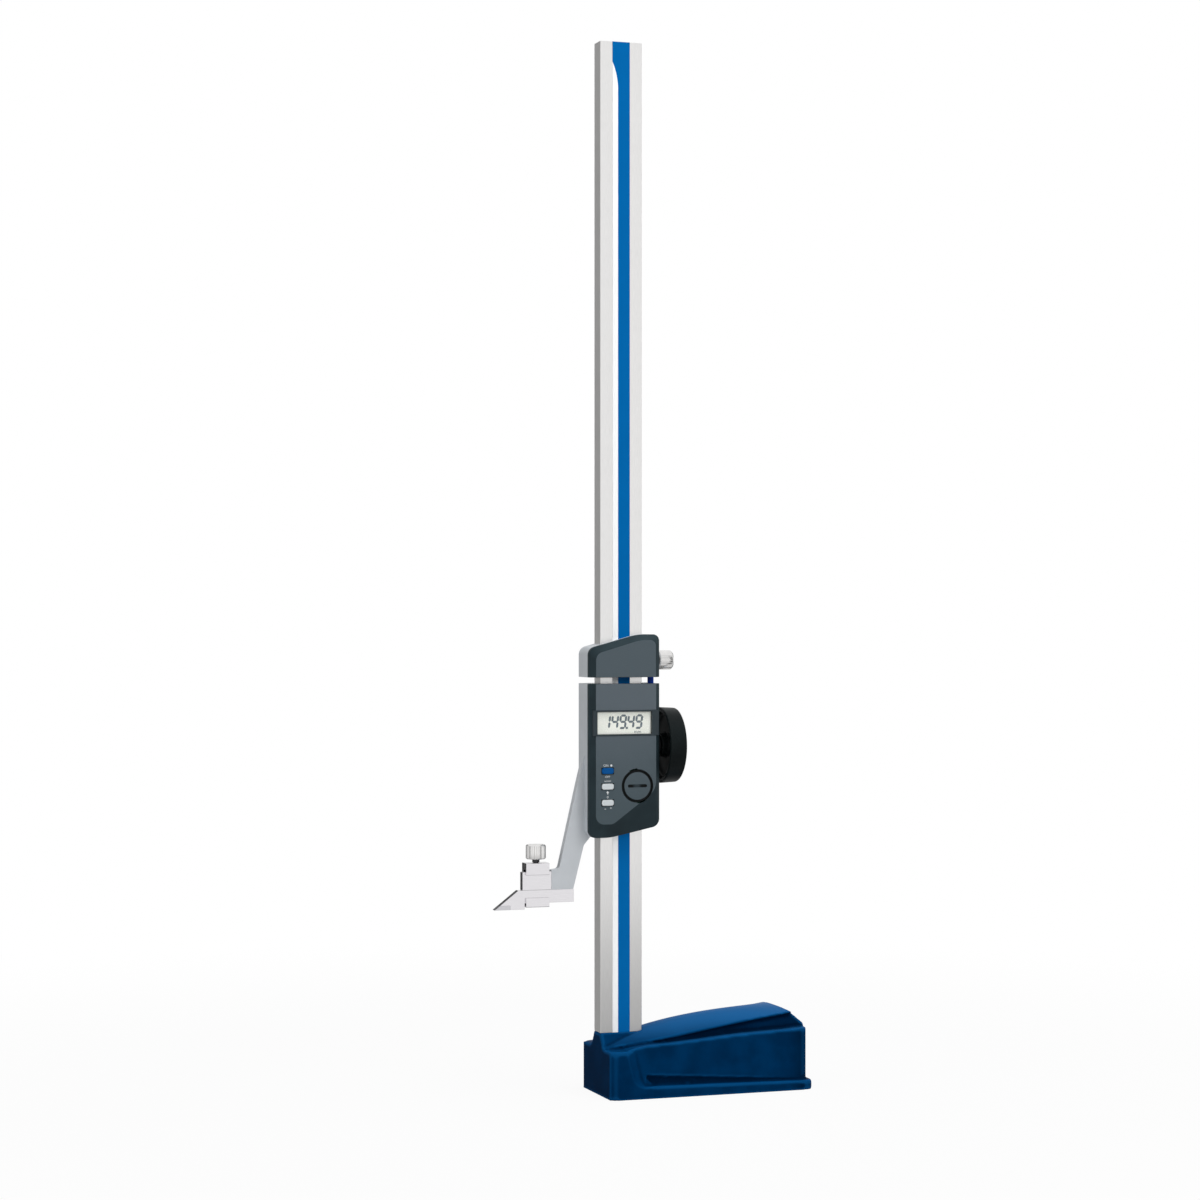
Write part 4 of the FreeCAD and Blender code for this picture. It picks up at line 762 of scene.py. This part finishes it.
# Cross-recess screws that hold the covers, seen from the rear; their places are (x, z) in mm
def coverScrews():
    values = {"head": 2.4 * mm, "rise": 2.0 * mm, "headRound": 0.5 * mm, "shank": 1.25 * mm,
              "shankRound": 0.3 * mm, "length": 24.1 * mm, "seat": 10.2 * mm, "cross": 3.0 * mm,
              "slot": 0.6 * mm, "depth": 0.8 * mm, "columns": 28}
    rows = {"sliderScrews": ("slider", "housing_screws", [(-24.0, 317.5), (-24.0, 221.3), (24.0, 235.5)]),
            "headScrews": ("head", "head_screws", [(-24.0, 342.6), (23.5, 357.6)])}
    head, rise, shank, length = (values[key] for key in ("head", "rise", "shank", "length"))
    profile = roundedProfile([(0.0, -length), (shank, -length, values["shankRound"]), (shank, 0.0),
                              (head, 0.0), (head, rise, values["headRound"]), (0.0, rise)])
    blank = grown("screwBlank", pointMesh("screwProfile", profile), turned,
                  {**plainTurn, "Columns": values["columns"], "Finish": finishes["dark_steel"]})
    tidied(blank, 30.0, alongY)
    recipe = screwRecipe()
    for name, (body, node, places) in rows.items():
        points = [(x * mm, values["seat"], z * mm) for x, z in places]
        thing = grown(name, pointMesh(name + "Places", points), recipe, {
            "Blank": blank, "Head Top": rise, "Cross Length": values["cross"],
            "Cross Width": values["slot"], "Cross Depth": values["depth"], "Finish": finishes["dark_steel"]})
        tidied(thing, 30.0, Matrix.Identity(4))
        seat(thing, body, "dark_steel", node)
        print(name, len(thing.data.polygons), "faces")
    bpy.data.objects.remove(blank)


coverScrews()


# Flat shapes (lists of x, z) as one thin plate that faces -Y
def plates(name, shapes, front, back):
    shape = bmesh.new()
    for outline in shapes:
        near = [shape.verts.new((x, front, z)) for x, z in outline]
        far = [shape.verts.new((x, back, z)) for x, z in outline]
        shape.faces.new(near)
        shape.faces.new(far[::-1])
        for index in range(len(outline)):
            other = (index + 1) % len(outline)
            shape.faces.new((near[index], far[index], far[other], near[other]))
    bmesh.ops.recalc_face_normals(shape, faces=shape.faces)
    mesh = bpy.data.meshes.new(name)
    shape.to_mesh(mesh)
    shape.free()
    return mesh


# Lettering as a thin mesh facing -Y, centred on its place
def lettering(text, size, x, z, front, depth):
    curve = bpy.data.curves.new("letters", "FONT")
    curve.body = text
    curve.size = size
    curve.align_x = "CENTER"
    curve.align_y = "CENTER"
    curve.resolution_u = 3
    curve.extrude = depth / 2.0
    thing = bpy.data.objects.new("letters", curve)
    mesh = bpy.data.meshes.new_from_object(thing)
    upright = Matrix.Rotation(math.radians(90.0), 4, "X")
    mesh.transform(Matrix.Translation((x, front + depth / 2.0, z)) @ upright)
    bpy.data.objects.remove(thing)
    return mesh


def joined(name, meshes):
    shape = bmesh.new()
    for mesh in meshes:
        shape.from_mesh(mesh)
    bmesh.ops.remove_doubles(shape, verts=shape.verts, dist=merging["print"])
    mesh = bpy.data.meshes.new(name)
    shape.to_mesh(mesh)
    shape.free()
    return linked(name, mesh)


# One bar of a digit between two points, with pointed ends
def segmentBar(begin, end, half, gap):
    run = (end - begin).normalized()
    side = Vector((-run.y, run.x)) * half
    first = begin + run * gap
    last = end - run * gap
    return [first, first + run * half - side, last - run * half - side, last,
            last - run * half + side, first + run * half + side]


# The pale cell behind the window and the reading on it; places count from the cell's lower left corner
def readout():
    values = {"reading": "149.49", "left": 5.2 * mm, "low": 3.8 * mm, "pitch": 6.75 * mm, "wide": 4.5 * mm,
              "tall": 11.6 * mm, "stroke": 1.75 * mm, "gap": 0.12 * mm, "slant": 0.12, "dotGap": 0.75 * mm,
              "plate": 0.3 * mm, "ink": 0.06 * mm, "unit": ("mm", 4.0 * mm, 34.1 * mm, 1.6 * mm)}
    segments = {"a": (0, 2, 1, 2), "b": (1, 1, 1, 2), "c": (1, 0, 1, 1), "d": (0, 0, 1, 0),
                "e": (0, 0, 0, 1), "f": (0, 1, 0, 2), "g": (0, 1, 1, 1)}
    lit = {"1": "bc", "4": "fgbc", "9": "abcdfg"}
    low, high = boxOf("display_spacer")
    front = low.y + values["plate"]
    outline = [(low.x, low.z), (high.x, low.z), (high.x, high.z), (low.x, high.z)]
    cell = plates("liquidCell", [outline], front, high.y)
    seat(linked("liquidCell", cell), "slider", "display_face", "display_spacer")
    stroke, half, wide = values["stroke"], values["stroke"] / 2.0, values["wide"]
    level = values["tall"] / 2.0 - half
    base = low.z + values["low"]
    start = low.x + values["left"]
    shapes = []
    for sign in values["reading"]:
        if sign == ".":
            dot = start - values["pitch"] + wide + values["dotGap"]
            shapes.append([(dot, 0.0), (dot + stroke, 0.0), (dot + stroke, stroke), (dot, stroke)])
            continue
        for segment in lit[sign]:
            column, row, lastColumn, lastRow = segments[segment]
            begin = Vector((start + column * wide, half + row * level))
            end = Vector((start + lastColumn * wide, half + lastRow * level))
            shapes.append(segmentBar(begin, end, half, values["gap"]))
        start += values["pitch"]
    slanted = [[(x + z * values["slant"], base + z) for x, z in shape] for shape in shapes]
    digits = plates("digits", slanted, front - values["ink"], front)
    unit, size, x, z = values["unit"]
    marks = lettering(unit, size, low.x + x, low.z + z, front - values["ink"], values["ink"])
    seat(joined("reading", [digits, marks]), "slider", "display_face", finish=displayInk)


# Generic marks printed on the foil; each is (text, size, across, up) in mm from the middle of its key
def keyMarks():
    values = {"proud": 0.03 * mm, "ink": 0.05 * mm, "dot": (3.0 * mm, 4.3 * mm, 0.85 * mm), "dotSides": 20,
              "arrow": 4.8 * mm, "shaft": (0.45 * mm, 1.3 * mm), "tip": (1.25 * mm, 1.4 * mm),
              "words": {"button_blue": [("ON", 2.6, -1.5, 4.3), ("OFF", 2.4, 0.0, -4.7)],
                        "button_upper": [("in/mm", 2.2, 0.0, 4.4)],
                        "button_lower": [("0", 2.8, 0.0, 4.4), ("-", 5.0, -2.1, -4.5),
                                         ("+", 3.6, 2.6, -4.4)]}}
    front = boxOf("display_housing")[0].y - values["proud"]
    meshes = []
    for key, words in values["words"].items():
        middle = middleOf(key)
        for word, size, across, up in words:
            x, z = middle.x + across * mm, middle.z + up * mm
            meshes.append(lettering(word, size * mm, x, z, front, values["ink"]))
    across, up, radius = values["dot"]
    x, z = middleOf("button_blue").x + across, middleOf("button_blue").z + up
    turns = [math.tau * step / values["dotSides"] for step in range(values["dotSides"])]
    dot = [(x + radius * math.cos(turn), z + radius * math.sin(turn)) for turn in turns]
    x, z = middleOf("button_upper").x, middleOf("button_upper").z - values["arrow"]
    half, down = values["shaft"]
    wing, rise = values["tip"]
    arrow = [(x - half, z - down), (x + half, z - down), (x + half, z), (x + wing, z), (x, z + rise),
             (x - wing, z), (x - half, z)]
    meshes.append(plates("signs", [dot, arrow], front, front + values["ink"]))
    seat(joined("keyMarks", meshes), "slider", "button_white", finish=printInk)


readout()
keyMarks()
print("reading and key marks set")


# The photograph's view: place in metres, turn about Z in degrees, lens and sensor in mm
view = {"place": (-0.7628, -2.1710, 0.394), "turn": -19.0, "lens": 86.31, "sensor": 36.0, "clip": 50.0}
camera = bpy.data.objects.new("photoCamera", bpy.data.cameras.new("photoCamera"))
camera.data.lens = view["lens"]
camera.data.sensor_width = view["sensor"]
camera.data.clip_end = view["clip"]
camera.location = view["place"]
camera.rotation_euler = (math.radians(90.0), 0.0, math.radians(view["turn"]))
bpy.context.scene.collection.objects.link(camera)
bpy.context.scene.camera = camera
bpy.context.scene.view_settings.view_transform = "Standard"


def softbox(name, place, target, size, power):
    lamp = bpy.data.lights.new(name, "AREA")
    lamp.shape = "RECTANGLE"
    lamp.size, lamp.size_y = size
    lamp.energy = power
    thing = bpy.data.objects.new(name, lamp)
    thing.location = place
    thing.rotation_euler = (Vector(target) - Vector(place)).to_track_quat("-Z", "Y").to_euler()
    thing.visible_glossy = False  # metal shows the room, not the lamps
    bpy.context.scene.collection.objects.link(thing)


# Place, target, size and power of each lamp
lamps = {"topBox": ((0.5, -0.4, 2.6), (0.0, 0.0, 0.3), (1.8, 1.8), 62.0),
         "frontBox": ((1.3, -2.7, 1.5), (0.0, 0.0, 0.4), (1.6, 1.8), 32.0),
         "sideBox": ((-2.5, -0.3, 1.2), (0.0, 0.0, 0.4), (1.2, 1.6), 18.0)}
for name, (place, target, size, power) in lamps.items():
    softbox(name, place, target, size, power)


# White all round for the eye. Reflections see the same room with its dim side and dark stands, each given
# by direction, half width and soft width in degrees, and depth. They fade out above, and the room dims below
def studioWorld():
    values = {"fill": 0.4, "above": (0.35, 0.8), "below": (0.15, 0.4), "belowDepth": 0.3,
              "stands": [(-145.0, 26.0, 50.0, 0.4), (39.0, 5.0, 5.0, 0.9), (120.0, 12.0, 10.0, 0.85),
                         (-88.0, 6.0, 8.0, 0.6), (-161.0, 5.0, 3.0, 0.95), (180.0, 4.0, 3.0, 0.9)]}
    world = bpy.data.worlds.new("studio")
    bpy.context.scene.world = world
    world.use_nodes = True
    room = Board(world.node_tree)
    room.tree.nodes.clear()
    way = room.node("ShaderNodeTexCoord", out="Generated")
    across, climb = room.split(way, "X"), room.split(way, "Z")
    turn = across.maths("ARCTAN2", across, -1.0 * room.split(way, "Y")) * (180.0 / math.pi)
    level = 1.0
    for middle, half, soft, depth in values["stands"]:
        level = level * (1.0 - turn.around(middle, half, soft) * depth)
    level = level + (1.0 - level) * climb.rise(*values["above"])
    level = level * (1.0 - (0.0 - climb).rise(*values["below"]) * values["belowDepth"])
    direct, mirrored, through = (room.node("ShaderNodeLightPath", out="Is " + kind + " Ray")
                                 for kind in ("Camera", "Glossy", "Transmission"))
    seen = (direct + through).atMost(1.0)
    unseen = mirrored * level + (1.0 - mirrored) * values["fill"]
    white = (1.0, 1.0, 1.0, 1.0)
    sky = room.node("ShaderNodeBackground", inputs={"Color": white, "Strength": seen + (1.0 - seen) * unseen})
    out = room.tree.nodes.new("ShaderNodeOutputWorld")
    room.tree.links.new(sky.socket, out.inputs["Surface"])


studioWorld()


# Matt floor that the camera sees almost white near the gauge and white further off
def paleFloor():
    values = {"half": 12.0, "near": 0.35, "far": 1.1, "lift": 0.93, "grey": (0.5, 0.5, 0.5, 1.0),
              "roughness": 0.9, "gloss": 0.1}
    mesh = bpy.data.meshes.new("paleFloor")
    half = values["half"]
    corners = [(-half, -half, 0), (half, -half, 0), (half, half, 0), (-half, half, 0)]
    mesh.from_pydata(corners, [], [(0, 1, 2, 3)])
    floor = linked("paleFloor", mesh)
    finish = Finish("paleFloor", Roughness=values["roughness"], Specular_IOR_Level=values["gloss"],
                    Base_Color=values["grey"])
    across = finish.node("ShaderNodeVectorMath", {"operation": "LENGTH"}, {0: finish.place}, out=1)
    direct = finish.node("ShaderNodeLightPath", out="Is Camera Ray")
    lift = values["lift"] + across.rise(values["near"], values["far"]) * (1.0 - values["lift"])
    glow = finish.node("ShaderNodeEmission", inputs={"Strength": 1.0})
    skin = Wire(finish, finish.skin.outputs[0])
    mixed = finish.node("ShaderNodeMixShader", inputs={0: direct * lift, 1: skin, 2: glow})
    finish.tree.links.new(mixed.socket, finish.output.inputs["Surface"])
    mesh.materials.append(finish.material)
    floor.visible_glossy = False


paleFloor()
print("camera, lamps and floor placed")
